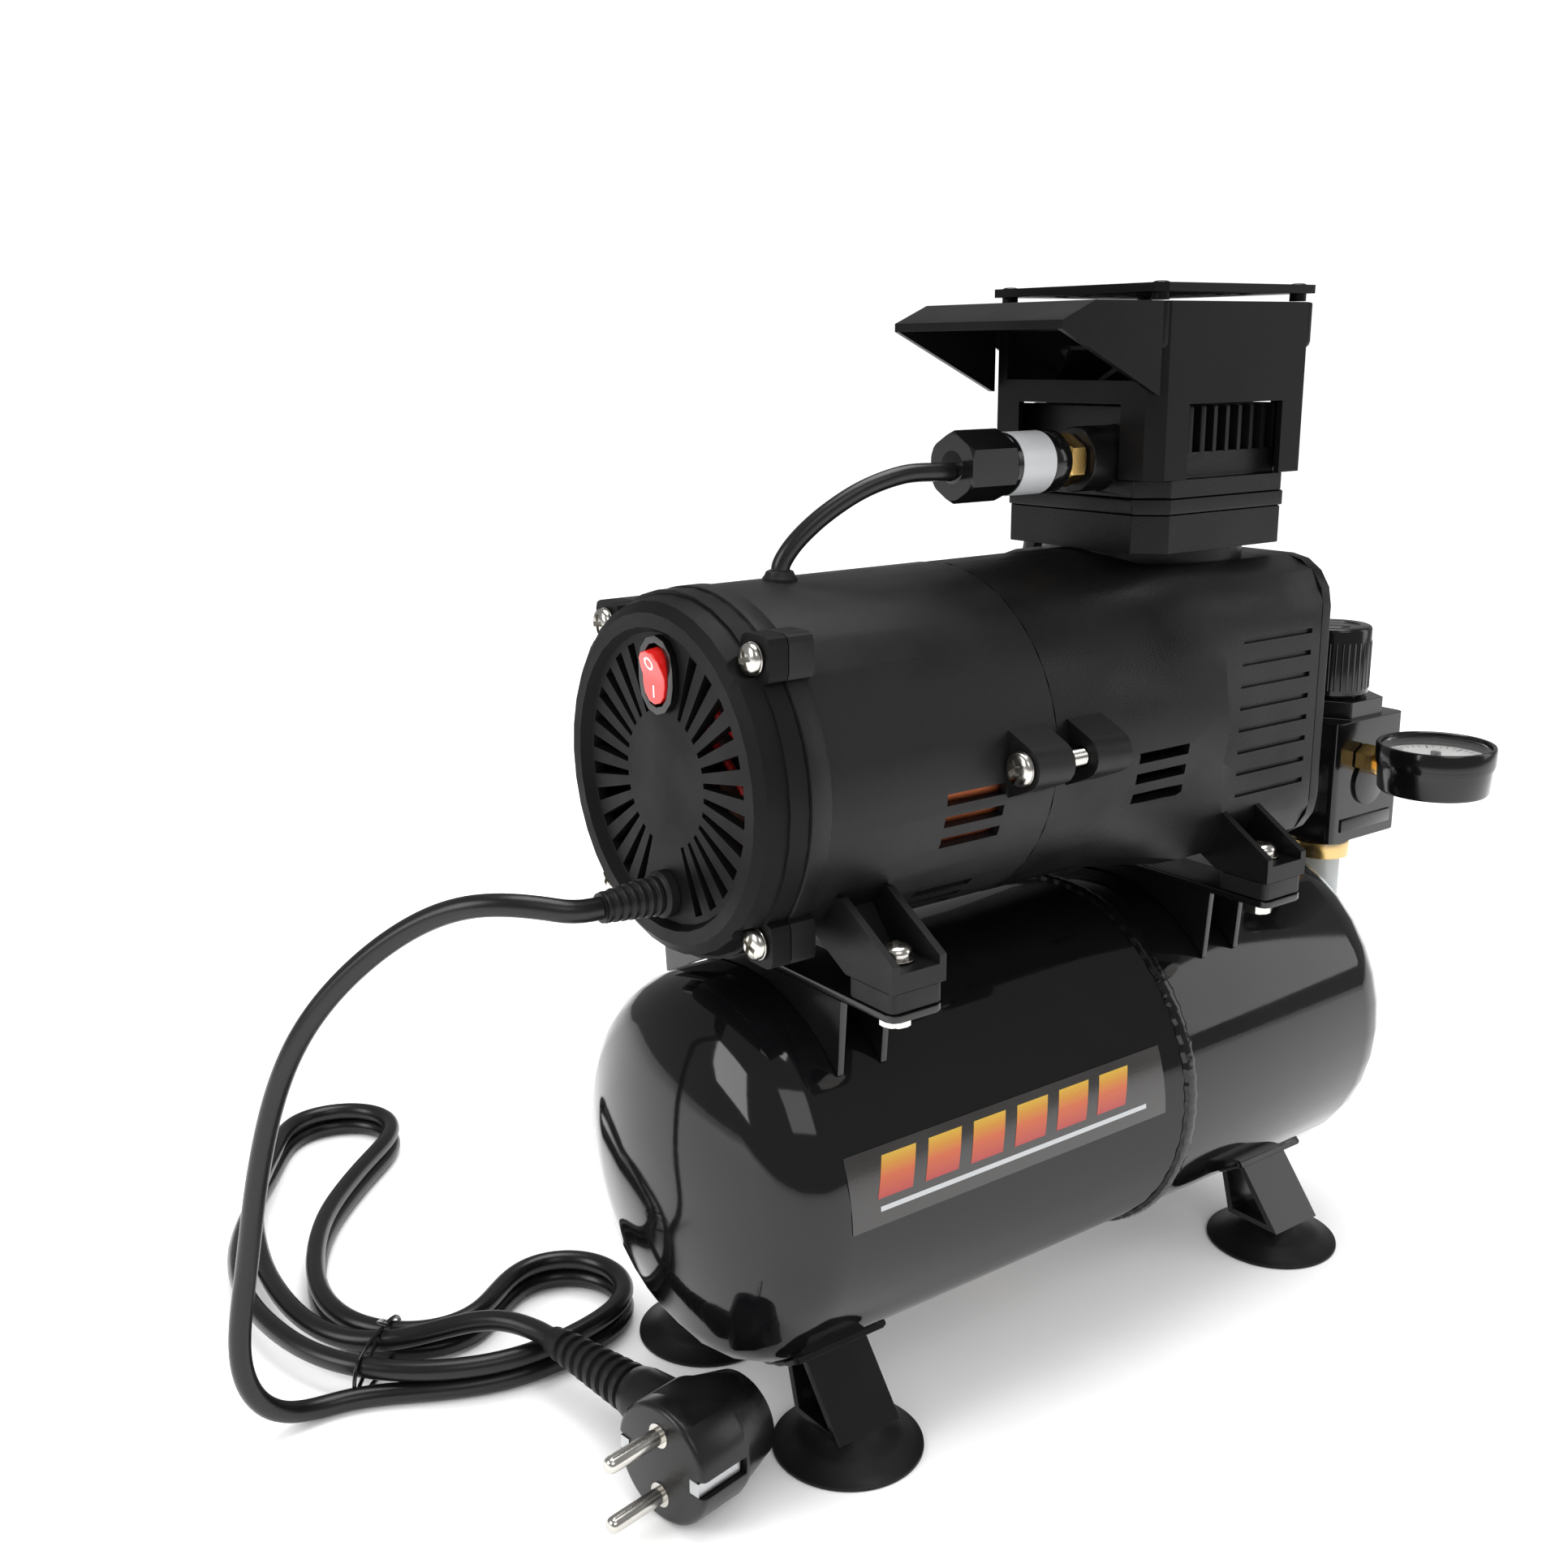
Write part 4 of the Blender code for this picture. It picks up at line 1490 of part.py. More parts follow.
def stand_on_origin():
    """Move the whole assembly so that the middle of the compressor's base is the origin."""
    bpy.context.view_layer.update()
    graph = bpy.context.evaluated_depsgraph_get()
    corners = []
    for thing in bpy.context.scene.objects:
        if thing.name not in CORD_PIECES:
            solid = thing.evaluated_get(graph)
            corners += [solid.matrix_world @ vert.co for vert in solid.to_mesh().vertices]
    low = [min(corner[axis] for corner in corners) for axis in range(3)]
    high = [max(corner[axis] for corner in corners) for axis in range(3)]
    shift = -Vector(((low[0] + high[0]) / 2, (low[1] + high[1]) / 2, 0))
    for thing in bpy.context.scene.objects:
        thing.location += shift


def build():
    for thing in list(bpy.data.objects):
        bpy.data.objects.remove(thing)
    tank_shell()
    tank_end()
    drain_screw()
    feet()
    motor_mounting()
    motor_shell()
    crankcase()
    crankcase_cover()
    rear_cover()
    cover_screws()
    for number, side in enumerate((-1, 1), 1):
        clamp_screw(f"clamp_screw_{number}", side)
    switch_bezel()
    rocker()
    cord_gland()
    stator()
    rotor()
    piston()
    cylinder()
    valve_plate()
    cylinder_head()
    shroud()
    guard()
    fan_rotor()
    pressure_switch()
    switch_lead()
    regulator_body()
    adjusting_screw()
    knob()
    bowl()
    bowl_drain()
    gauge()
    outlet_nipple()
    supply_pipe()
    delivery_pipe()
    mains_cord()
    cord_bundle()
    plug()
    stand_on_origin()


build()
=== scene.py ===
"""Airbrush compressor: materials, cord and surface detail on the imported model."""
import json
import math

import bmesh
import bpy
from mathutils import Matrix, Vector


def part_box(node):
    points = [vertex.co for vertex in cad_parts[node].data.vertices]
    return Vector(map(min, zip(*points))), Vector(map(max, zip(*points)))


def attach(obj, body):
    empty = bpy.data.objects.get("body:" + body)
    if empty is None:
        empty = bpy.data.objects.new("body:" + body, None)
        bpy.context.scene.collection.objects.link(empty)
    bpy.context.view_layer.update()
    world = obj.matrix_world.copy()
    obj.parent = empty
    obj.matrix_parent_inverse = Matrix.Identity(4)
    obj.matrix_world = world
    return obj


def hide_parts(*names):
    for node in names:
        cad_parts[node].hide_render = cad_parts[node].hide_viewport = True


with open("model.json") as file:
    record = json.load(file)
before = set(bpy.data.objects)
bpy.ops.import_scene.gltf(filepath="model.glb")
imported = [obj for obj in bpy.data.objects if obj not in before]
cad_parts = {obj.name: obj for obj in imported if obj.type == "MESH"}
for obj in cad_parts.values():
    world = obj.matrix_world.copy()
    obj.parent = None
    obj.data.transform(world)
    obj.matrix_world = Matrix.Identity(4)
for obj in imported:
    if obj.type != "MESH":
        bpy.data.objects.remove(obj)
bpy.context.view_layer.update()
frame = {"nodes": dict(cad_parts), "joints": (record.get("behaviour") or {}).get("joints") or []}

MM = 0.001
NODES = frame["nodes"]

# Places below are in millimetres from the floor under the tank's middle
TANK_MIDDLE = Vector(((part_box("tank_shell")[0].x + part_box("tank_end")[1].x) / 2,
                      (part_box("tank_end")[0].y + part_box("tank_end")[1].y) / 2, 0))
TANK_RADIUS = 60.0
TANK_HEIGHT = 83.0
MOTOR_HEIGHT = 204.5
HEAD_X = 55.0


def spot(x, y, z):
    """A point given in millimetres from below the tank's middle."""
    return TANK_MIDDLE + Vector((x, y, z)) * MM


# ------------ camera, light and floor

CAMERA_PLACE = (-369.7, -380.0, 319.8)
CAMERA_AZIMUTH = -36.04
CAMERA_ELEVATION = 14.70
CAMERA_ROLL = -0.56
CAMERA_LENS = 38.24


def make_camera():
    """The photograph's view, found by matching points of the object."""
    azimuth, elevation = math.radians(CAMERA_AZIMUTH), math.radians(CAMERA_ELEVATION)
    back = Vector((math.sin(azimuth) * math.cos(elevation), -math.cos(azimuth) * math.cos(elevation),
                   math.sin(elevation)))
    right = Vector((math.cos(azimuth), math.sin(azimuth), 0))
    up = back.cross(right)
    roll = math.radians(CAMERA_ROLL)
    turned_right = right * math.cos(roll) + up * math.sin(roll)
    turned_up = up * math.cos(roll) - right * math.sin(roll)
    data = bpy.data.cameras.new("camera")
    data.lens = CAMERA_LENS
    data.sensor_width = 36
    data.clip_end = 20
    camera = bpy.data.objects.new("camera", data)
    camera.matrix_world = Matrix.Translation(spot(*CAMERA_PLACE)) @ Matrix(
        (turned_right, turned_up, back)).transposed().to_4x4()
    bpy.context.scene.collection.objects.link(camera)
    bpy.context.scene.camera = camera


def area_light(name, place, target, size_x, size_y, power):
    data = bpy.data.lights.new(name, "AREA")
    data.shape = "RECTANGLE"
    data.size = size_x
    data.size_y = size_y
    data.energy = power
    lamp = bpy.data.objects.new(name, data)
    lamp.location = place
    lamp.rotation_euler = (Vector(target) - Vector(place)).to_track_quat("-Z", "Y").to_euler()
    bpy.context.scene.collection.objects.link(lamp)


def put(node, **values):
    """Set a node's inputs, with an underscore for each space in their names."""
    for name, value in values.items():
        node.inputs[name.replace("_", " ")].default_value = value


BACKDROP = 1.08
REFLECTED_ROOM = 0.3
FLOOR_HALF = 6


def make_studio():
    """White backdrop that reflections see dimmer, four large soft lights and a pale floor."""
    world = bpy.data.worlds.new("studio")
    world.use_nodes = True
    nodes = world.node_tree.nodes
    link = world.node_tree.links.new
    backdrop = nodes["Background"]
    put(backdrop, Color=(1.0, 1.0, 1.0, 1.0), Strength=BACKDROP)
    dim = nodes.new("ShaderNodeBackground")
    put(dim, Color=(1.0, 1.0, 1.0, 1.0), Strength=REFLECTED_ROOM)
    ray = nodes.new("ShaderNodeLightPath")
    mix = nodes.new("ShaderNodeMixShader")
    link(ray.outputs["Is Glossy Ray"], mix.inputs[0])
    link(backdrop.outputs[0], mix.inputs[1])
    link(dim.outputs[0], mix.inputs[2])
    link(mix.outputs[0], nodes["World Output"].inputs["Surface"])
    bpy.context.scene.world = world
    area_light("key_light", (-0.5, -1.7, 1.7), (0, 0, 0.15), 1.3, 1.0, 8)
    area_light("left_light", (-1.9, 0.3, 1.1), (0, 0, 0.15), 0.9, 1.2, 17)
    area_light("top_light", (0.3, 0.2, 2.1), (0, 0, 0.1), 1.4, 1.4, 30)
    area_light("right_light", (1.7, -1.2, 0.9), (0, 0, 0.15), 0.8, 1.1, 5)
    floor_mesh = bpy.data.meshes.new("floor")
    half = FLOOR_HALF
    floor_mesh.from_pydata([(-half, -half, 0), (half, -half, 0), (half, half, 0), (-half, half, 0)], [],
                           [(0, 1, 2, 3)])
    floor = bpy.data.objects.new("floor", floor_mesh)
    bpy.context.scene.collection.objects.link(floor)
    floor_mesh.materials.append(surface("floor_white", (1.0, 1.0, 1.0), 0.9, grain=0, blotch=0.01, shine=0.2))
    bpy.context.scene.view_settings.view_transform = "Standard"


# ------------ materials

def surface(name, colour, roughness, metallic=0.0, coat=0.0, grain=0.25, grain_size=0.35, blotch=0.12,
            spread=0.35, transmission=0.0, ior=1.5, shine=0.5):
    """A material with fine bump, blotchy colour and uneven roughness. Sizes are in millimetres."""
    material = bpy.data.materials.new(name)
    material.use_nodes = True
    nodes = material.node_tree.nodes
    link = material.node_tree.links.new
    shader = nodes["Principled BSDF"]
    put(shader, Metallic=metallic, Coat_Weight=coat, Coat_Roughness=0.06, Transmission_Weight=transmission,
        IOR=ior, Specular_IOR_Level=shine)
    place = nodes.new("ShaderNodeTexCoord")
    patches = nodes.new("ShaderNodeTexNoise")
    put(patches, Scale=45, Detail=6)
    link(place.outputs["Object"], patches.inputs["Vector"])
    tones = nodes.new("ShaderNodeValToRGB")
    tones.color_ramp.elements[0].position = 0.3
    tones.color_ramp.elements[1].position = 0.7
    tones.color_ramp.elements[0].color = (*[c * (1 - blotch) for c in colour], 1)
    tones.color_ramp.elements[1].color = (*[min(1, c * (1 + blotch)) for c in colour], 1)
    link(patches.outputs["Fac"], tones.inputs["Fac"])
    link(tones.outputs["Color"], shader.inputs["Base Color"])
    gloss = nodes.new("ShaderNodeMapRange")
    put(gloss, From_Min=0.3, From_Max=0.7, To_Min=roughness * (1 - spread / 2),
        To_Max=min(1, roughness * (1 + spread / 2)))
    link(patches.outputs["Fac"], gloss.inputs["Value"])
    link(gloss.outputs["Result"], shader.inputs["Roughness"])
    if grain > 0:
        pits = nodes.new("ShaderNodeTexNoise")
        put(pits, Scale=1 / (grain_size * MM), Detail=3)
        bump = nodes.new("ShaderNodeBump")
        put(bump, Strength=grain, Distance=0.0001)
        link(place.outputs["Object"], pits.inputs["Vector"])
        link(pits.outputs["Fac"], bump.inputs["Height"])
        link(bump.outputs["Normal"], shader.inputs["Normal"])
    return material


def make_materials():
    """Every look by name: enamels, mouldings, castings and rubber in black, then the bright ones."""
    return {
        "tank": surface("tank_gloss_enamel", (0.0035, 0.0035, 0.004), 0.07, grain=0.05, grain_size=2.5,
                        shine=0.42),
        "barrel": surface("moulded_satin_black", (0.0065, 0.0062, 0.0066), 0.42, grain=0.5, grain_size=0.3,
                          shine=0.22),
        "cover": surface("moulded_matte_black", (0.0045, 0.0043, 0.0045), 0.5, grain=0.6, shine=0.12),
        "casting": surface("black_casting", (0.0045, 0.0043, 0.0045), 0.38, grain=0.7, grain_size=0.6,
                           spread=0.5, shine=0.2),
        "bracket": surface("bracket_gloss_black", (0.004, 0.004, 0.0045), 0.16, grain=0.1, grain_size=1,
                           shine=0.45),
        "plastic": surface("fan_cover_plastic", (0.004, 0.0038, 0.004), 0.36, grain=0.35, grain_size=0.4,
                           shine=0.12),
        "shiny": surface("shiny_black_plastic", (0.004, 0.004, 0.004), 0.14, grain=0.08, grain_size=1,
                         shine=0.45),
        "rubber": surface("black_rubber", (0.007, 0.007, 0.007), 0.45, grain=0.4, grain_size=0.5, spread=0.5,
                          shine=0.25),
        "cord": surface("cord_vinyl", (0.005, 0.005, 0.005), 0.3, grain_size=0.8, shine=0.4),
        "weld": surface("weld_painted", (0.0035, 0.0035, 0.004), 0.13, grain=0.6, grain_size=1.5, shine=0.45),
        "red": surface("rocker_red", (0.62, 0.012, 0.010), 0.2, coat=0.4, grain=0.06, grain_size=1,
                       blotch=0.05),
        "white": surface("marking_white", (0.85, 0.85, 0.83), 0.45, grain=0.05, blotch=0.03),
        "nickel": surface("nickel_plate", (0.62, 0.60, 0.56), 0.2, metallic=1.0, grain=0.15, grain_size=0.4),
        "zinc": surface("zinc_plate", (0.55, 0.56, 0.57), 0.32, metallic=1.0, grain=0.3, grain_size=0.5),
        "steel": surface("dark_steel", (0.22, 0.22, 0.23), 0.3, metallic=1.0),
        "brass": surface("brass", (0.72, 0.47, 0.16), 0.24, metallic=1.0, grain=0.15, grain_size=0.5),
        "copper": surface("enamelled_copper", (0.26, 0.075, 0.03), 0.4, metallic=1.0, grain=0.5,
                          grain_size=0.6),
        "alloy": surface("cast_alloy", (0.55, 0.55, 0.56), 0.35, metallic=1.0, grain=0.4),
        "clear": surface("clear_bowl", (0.93, 0.95, 0.96), 0.05, grain=0.03, transmission=1.0, ior=1.45,
                         blotch=0.01),
        "gauge_glass": surface("gauge_glass", (0.98, 0.98, 0.98), 0.03, grain=0.03, transmission=1.0,
                               ior=1.12, blotch=0.01),
        "label_grey": surface("label_grey", (0.42, 0.43, 0.44), 0.4, grain=0.08, blotch=0.04),
        "wire_red": surface("wire_red", (0.5, 0.012, 0.01), 0.35, grain=0.1),
    }


def numbered(name, count=4):
    """The names of a row of alike nodes."""
    return tuple(f"{name}_{number}" for number in range(1, count + 1))


NODE_LOOKS = {
    "tank": ("tank_shell", "tank_end"),
    "barrel": ("motor_shell",),
    "cover": ("rear_cover",),
    "casting": ("crankcase", "crankcase_cover", "cylinder", "valve_plate", "cylinder_head"),
    "bracket": ("cross_plate_rear", "cross_plate_front", *numbered("foot_bracket")),
    "plastic": ("shroud", "fan_guard", "fan_rotor"),
    "shiny": ("switch_bezel", "pressure_switch", "regulator_body", "knob", "gauge_case"),
    "rubber": (*numbered("foot_cup"), *numbered("isolator"), "cord_gland", "delivery_pipe"),
    "cord": ("switch_lead", "plug"),
    "red": ("rocker",),
    "nickel": (*numbered("cover_screw"), *numbered("clamp_screw", 2), *numbered("motor_bolt"),
               "outlet_nipple"),
    "steel": ("rotor", "gauge_needle", "supply_pipe"),
    "brass": ("drain_screw", "adjusting_screw", "bowl_drain", "gauge_stem"),
    "copper": ("stator",),
    "alloy": ("piston",),
    "clear": ("bowl",),
    "gauge_glass": ("gauge_lens",),
}
SMOOTH_ANGLE = math.radians(32)
EDGE_ROUNDING = {"cover": 0.5, "barrel": 0.5, "casting": 0.6, "bracket": 0.5, "plastic": 0.35, "shiny": 0.35,
                 "rubber": 0.3, "red": 0.35}


def smoothing_group():
    """Shades everything smooth apart from edges sharper than an angle."""
    group = bpy.data.node_groups.new("smooth_by_angle", "GeometryNodeTree")
    group.interface.new_socket("Geometry", in_out="INPUT", socket_type="NodeSocketGeometry")
    group.interface.new_socket("Geometry", in_out="OUTPUT", socket_type="NodeSocketGeometry")
    start = group.nodes.new("NodeGroupInput")
    end = group.nodes.new("NodeGroupOutput")
    faces = group.nodes.new("GeometryNodeSetShadeSmooth")
    edges = group.nodes.new("GeometryNodeSetShadeSmooth")
    edges.domain = "EDGE"
    angle = group.nodes.new("GeometryNodeInputMeshEdgeAngle")
    compare = group.nodes.new("FunctionNodeCompare")
    compare.operation = "LESS_THAN"
    put(compare, B=SMOOTH_ANGLE)
    link = group.links.new
    link(start.outputs[0], faces.inputs["Geometry"])
    link(faces.outputs[0], edges.inputs["Geometry"])
    link(angle.outputs["Unsigned Angle"], compare.inputs["A"])
    link(compare.outputs[0], edges.inputs["Shade Smooth"])
    link(edges.outputs[0], end.inputs[0])
    return group


def dress_nodes(looks, group):
    """Give every CAD node its look, small rounded edges where it has them, and smooth shading."""
    for look, names in NODE_LOOKS.items():
        for name in names:
            node = NODES[name]
            if not node.material_slots:
                node.data.materials.append(None)
            for holder in node.material_slots:
                holder.material = looks[look]
            weld = node.modifiers.new("weld", "WELD")
            weld.merge_threshold = 0.00001
            if look in EDGE_ROUNDING:
                bevel = node.modifiers.new("bevel", "BEVEL")
                bevel.width = EDGE_ROUNDING[look] * MM
                bevel.segments = 2
                bevel.limit_method = "ANGLE"
                bevel.angle_limit = math.radians(40)
                bevel.use_clamp_overlap = True
                bevel.harden_normals = False
            smooth = node.modifiers.new("smooth", "NODES")
            smooth.node_group = group
            if look in EDGE_ROUNDING:
                normals = node.modifiers.new("normals", "WEIGHTED_NORMAL")
                normals.mode = "FACE_AREA"
                normals.keep_sharp = True


# ------------ cord

CORD_RADIUS = 3.3
LAYERS = (3.5, 10.2)
CORD_ROUTE = (
    (-156.4, 0.0, 171.5), (-159.0, 0.0, 171.5), (-165.0, 0.9, 172.2), (-172.0, 4.2, 173.6),
    (-179.5, 11.2, 174.2),
    (-189.0, 23.0, 171.3), (-200.0, 36.0, 162.5), (-209.5, 46.0, 151.5), (-218.5, 54.0, 138.5),
    (-226.0, 59.5, 123.5), (-232.0, 63.0, 105.0), (-237.0, 65.0, 84.0), (-241.0, 66.0, 62.0),
    (-244.6, 66.4, 42.0), (-245.4, 66.6, 30.5), (-242.6, 67.0, 18.5), (-235.6, 67.8, 8.9),
    (-226.4, 69.0, 4.3), (-218.6, 70.2, 3.5),
)
CORD_TO_PLUG = ((-178.0, 67.0, 15.8), (-169.5, 62.0, 17.8), (-163.2, 54.5, 18.5), (-159.6, 46.0, 18.5),
                (-157.65, 38.3, 18.5))
BUNDLE_START = Vector((-152.0, 232.0))
BUNDLE_END = Vector((-137.0, 72.0))
BUNDLE_START_PULL = Vector((-266.4, 115.9))
BUNDLE_END_PULL = Vector((-191.6, 36.1))
BUNDLE_LOOP = 24.5
BUNDLE_WAIST = 14.0
BUNDLE_RETURN = ((1, 1), (0.86, 1), (0.72, 0.95), (0.58, 0.9), (0.44, 0.9), (0.3, 1), (0.15, 1), (0, 1))
TIE_RADIUS = 0.7


def bundle_point(t, side, height):
    """A point in the bundle: t along it, side from -1 to 1 across it."""
    rest = 1 - t
    point = (BUNDLE_START * rest ** 3 + 3 * BUNDLE_START_PULL * rest ** 2 * t
             + 3 * BUNDLE_END_PULL * rest * t ** 2 + BUNDLE_END * t ** 3)
    along = ((BUNDLE_START_PULL - BUNDLE_START) * rest ** 2
             + 2 * (BUNDLE_END_PULL - BUNDLE_START_PULL) * rest * t + (BUNDLE_END - BUNDLE_END_PULL) * t ** 2)
    across = Vector((-along.y, along.x)).normalized()
    half = BUNDLE_WAIST + (BUNDLE_LOOP - BUNDLE_WAIST) * (2 * t - 1) ** 2 - CORD_RADIUS
    place = point + across * half * side
    return (place.x, place.y, height)


def end_loop(at_end, side, height):
    """Half a turn round one end of the bundle, leaving from the given side."""
    t = 1 if at_end else 0
    centre = Vector(bundle_point(t, 0, height))
    edge = Vector(bundle_point(t, side, height)) - centre
    turn = 1 if (side > 0) != at_end else -1
    points = []
    for step in range(1, 6):
        angle = turn * math.pi * step / 6
        swung = Matrix.Rotation(angle, 3, "Z") @ edge
        points.append(tuple(centre + swung))
    return points


def cord_points():
    """The whole route: down from the gland, twice round the bundle, up over it and into the plug."""
    low, middle = LAYERS
    points = list(CORD_ROUTE)
    points += [bundle_point(t, side, low) for t, side in ((0.7, -1), (0.8, -1), (0.9, -1), (1, -1))]
    points += end_loop(True, -1, low)
    points += [bundle_point(t, side, low) for t, side in BUNDLE_RETURN]
    points += end_loop(False, 1, low)
    rising = ((0, -1, low), (0.14, -1, low + 1), (0.26, -1, low + 5), (0.38, -0.95, middle),
              (0.52, -0.95, middle), (0.66, -0.95, middle), (0.8, -1, middle), (0.9, -1, middle),
              (1, -1, middle))
    points += [bundle_point(*stop) for stop in rising]
    points += end_loop(True, -1, middle)
    points += [bundle_point(t, side, middle) for t, side in BUNDLE_RETURN]
    points += end_loop(False, 1, middle)
    crossing = ((0, -1, middle + 1), (0.12, -0.8, middle + 2), (0.24, -0.4, middle), (0.36, -0.1, middle),
                (0.46, 0, middle), (0.56, 0.1, middle + 0.6), (0.65, 0.25, middle + 2.5))
    points += [bundle_point(*stop) for stop in crossing]
    return points + list(CORD_TO_PLUG)


def smooth_path(points, samples):
    """A curve through every point, with so many samples to each stretch."""
    points = [Vector(point) for point in points]
    padded = [2 * points[0] - points[1]] + points + [2 * points[-1] - points[-2]]
    path = []
    for before, start, end, after in zip(padded, padded[1:], padded[2:], padded[3:]):
        for sample in range(samples):
            t = sample / samples
            path.append(0.5 * (2 * start + (end - before) * t
                               + (2 * before - 5 * start + 4 * end - after) * t ** 2
                               + (3 * start - before - 3 * end + after) * t ** 3))
    path.append(points[-1])
    return path


SMOOTHING_IN = 0.5
SMOOTHING_OUT = -0.52


def relaxed(points, spacing=5.0, rounds=80):
    """The route at even steps with its kinks smoothed out, its two ends left as they are."""
    path = smooth_path(points, 8)
    even = [path[0]]
    left = spacing
    for start, end in zip(path, path[1:]):
        span = (end - start).length
        done = 0.0
        while span - done >= left:
            done += left
            even.append(start.lerp(end, done / span))
            left = spacing
        left -= span - done
    even.append(path[-1])
    for turn in range(2 * rounds):
        share = SMOOTHING_IN if turn % 2 == 0 else SMOOTHING_OUT
        moved = list(even)
        for index in range(3, len(even) - 3):
            middle = (even[index - 1] + even[index + 1]) / 2
            moved[index] = even[index] + (middle - even[index]) * share
            moved[index].z = max(moved[index].z, CORD_RADIUS + 0.1)
        even = moved
    return even


def wire(name, points, radius, material, samples=4, rings=4):
    """A round wire through points in millimetres from the tank's middle."""
    path = smooth_path(points, samples)
    curve = bpy.data.curves.new(name, "CURVE")
    curve.dimensions = "3D"
    curve.bevel_depth = radius * MM
    curve.bevel_resolution = rings
    curve.use_fill_caps = True
    spline = curve.splines.new("POLY")
    spline.points.add(len(path) - 1)
    for target, place in zip(spline.points, path):
        target.co = (*spot(*place), 1)
    curve.materials.append(material)
    thing = bpy.data.objects.new(name, curve)
    bpy.context.scene.collection.objects.link(thing)
    return thing


def make_cord(looks, plug_pieces):
    """The mains cord from the gland to the plug, with the tie round its bundle."""
    points = relaxed(cord_points())
    cord = wire("cord", points, CORD_RADIUS, looks["cord"], samples=2, rings=6)
    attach(cord, "frame")
    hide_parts("mains_cord", "cord_bundle")
    tie = make_tie(looks)


def make_tie(looks):
    """A wire tie round the bundle's waist with its two ends twisted together."""
    waist = 0.6
    low, high = 0.9, 15.2
    loop = ((-1.38, 4), (-1.3, low), (0, low - 0.3), (1.3, low), (1.38, 4), (1.38, 10), (1.1, 13.8),
            (0.2, high), (-0.9, high - 0.6), (-1.38, 11), (-1.38, 4.2))
    points = [bundle_point(waist, side, height) for side, height in loop]
    knot = Vector(bundle_point(waist, 0.3, high + 0.8))
    points += [tuple(knot + Vector(step)) for step in ((0, 0, 0), (-2, -2.5, 3), (-3, -6, 5), (-2, -10, 6))]
    tie = wire("cord_tie", points, TIE_RADIUS, looks["shiny"], samples=3, rings=2)
    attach(tie, "frame")
    return tie


# ------------ making pieces

Z_ALONG_X = Matrix(((0, 0, 1, 0), (1, 0, 0, 0), (0, 1, 0, 0), (0, 0, 0, 1)))
FINE = 72
SHARP_ANGLE = math.radians(38)


def arc(centre, radius, start, end, steps):
    """Points along an arc, its angles in degrees."""
    points = []
    for step in range(steps + 1):
        angle = math.radians(start + (end - start) * step / steps)
        points.append((centre[0] + radius * math.cos(angle), centre[1] + radius * math.sin(angle)))
    return points


def lathe(profile, sides=FINE):
    """A solid of revolution about Z from (radius, height) pairs in millimetres."""
    shape = bmesh.new()
    verts = [shape.verts.new((radius * MM, 0, height * MM)) for radius, height in profile]
    edges = [shape.edges.new(pair) for pair in zip(verts, verts[1:])]
    if profile[0][0] > 0 or profile[-1][0] > 0:
        edges.append(shape.edges.new((verts[-1], verts[0])))
    bmesh.ops.spin(shape, geom=verts + edges, axis=(0, 0, 1), cent=(0, 0, 0), angle=math.tau, steps=sides,
                   use_merge=True)
    bmesh.ops.remove_doubles(shape, verts=shape.verts, dist=1e-6)
    bmesh.ops.recalc_face_normals(shape, faces=shape.faces)
    return shape


def prism(outline, low, high):
    """A prism of an outline in X and Y, from low to high, in millimetres."""
    shape = bmesh.new()
    base = [shape.verts.new((x * MM, y * MM, low * MM)) for x, y in outline]
    face = shape.faces.new(base)
    grown = bmesh.ops.extrude_face_region(shape, geom=[face])
    top = [item for item in grown["geom"] if isinstance(item, bmesh.types.BMVert)]
    bmesh.ops.translate(shape, verts=top, vec=(0, 0, (high - low) * MM))
    bmesh.ops.recalc_face_normals(shape, faces=shape.faces)
    return shape


def softened(shape, width, segments=2, angle=35):
    """Round the edges that are sharper than an angle."""
    edges = [edge for edge in shape.edges if len(edge.link_faces) == 2
             and edge.calc_face_angle() > math.radians(angle)]
    bmesh.ops.bevel(shape, geom=edges, offset=width * MM, segments=segments, affect="EDGES", profile=0.5,
                    clamp_overlap=True)
    return shape


def placed(shape, matrix):
    """A shape moved by a matrix."""
    bmesh.ops.transform(shape, matrix=matrix, verts=shape.verts)
    return shape


def lifted(shape, height):
    """A shape moved up by millimetres."""
    return placed(shape, Matrix.Translation((0, 0, height * MM)))


def gathered(*shapes):
    """Several shapes in one."""
    mesh = bpy.data.meshes.new("gathered")
    result = bmesh.new()
    for shape in shapes:
        shape.to_mesh(mesh)
        shape.free()
        result.from_mesh(mesh)
    bpy.data.meshes.remove(mesh)
    return result


def carved(shape, tool, operation="DIFFERENCE"):
    """A shape with another cut away from it, or kept only where they meet."""
    objects = []
    for source in (shape, tool):
        mesh = bpy.data.meshes.new("scratch")
        source.to_mesh(mesh)
        source.free()
        thing = bpy.data.objects.new("scratch", mesh)
        bpy.context.scene.collection.objects.link(thing)
        objects.append(thing)
    cutter = objects[0].modifiers.new("carve", "BOOLEAN")
    cutter.operation = operation
    cutter.object = objects[1]
    cutter.solver = "EXACT"
    graph = bpy.context.evaluated_depsgraph_get()
    result = bmesh.new()
    result.from_mesh(objects[0].evaluated_get(graph).to_mesh())
    for thing in objects:
        mesh = thing.data
        bpy.data.objects.remove(thing)
        bpy.data.meshes.remove(mesh)
    return result


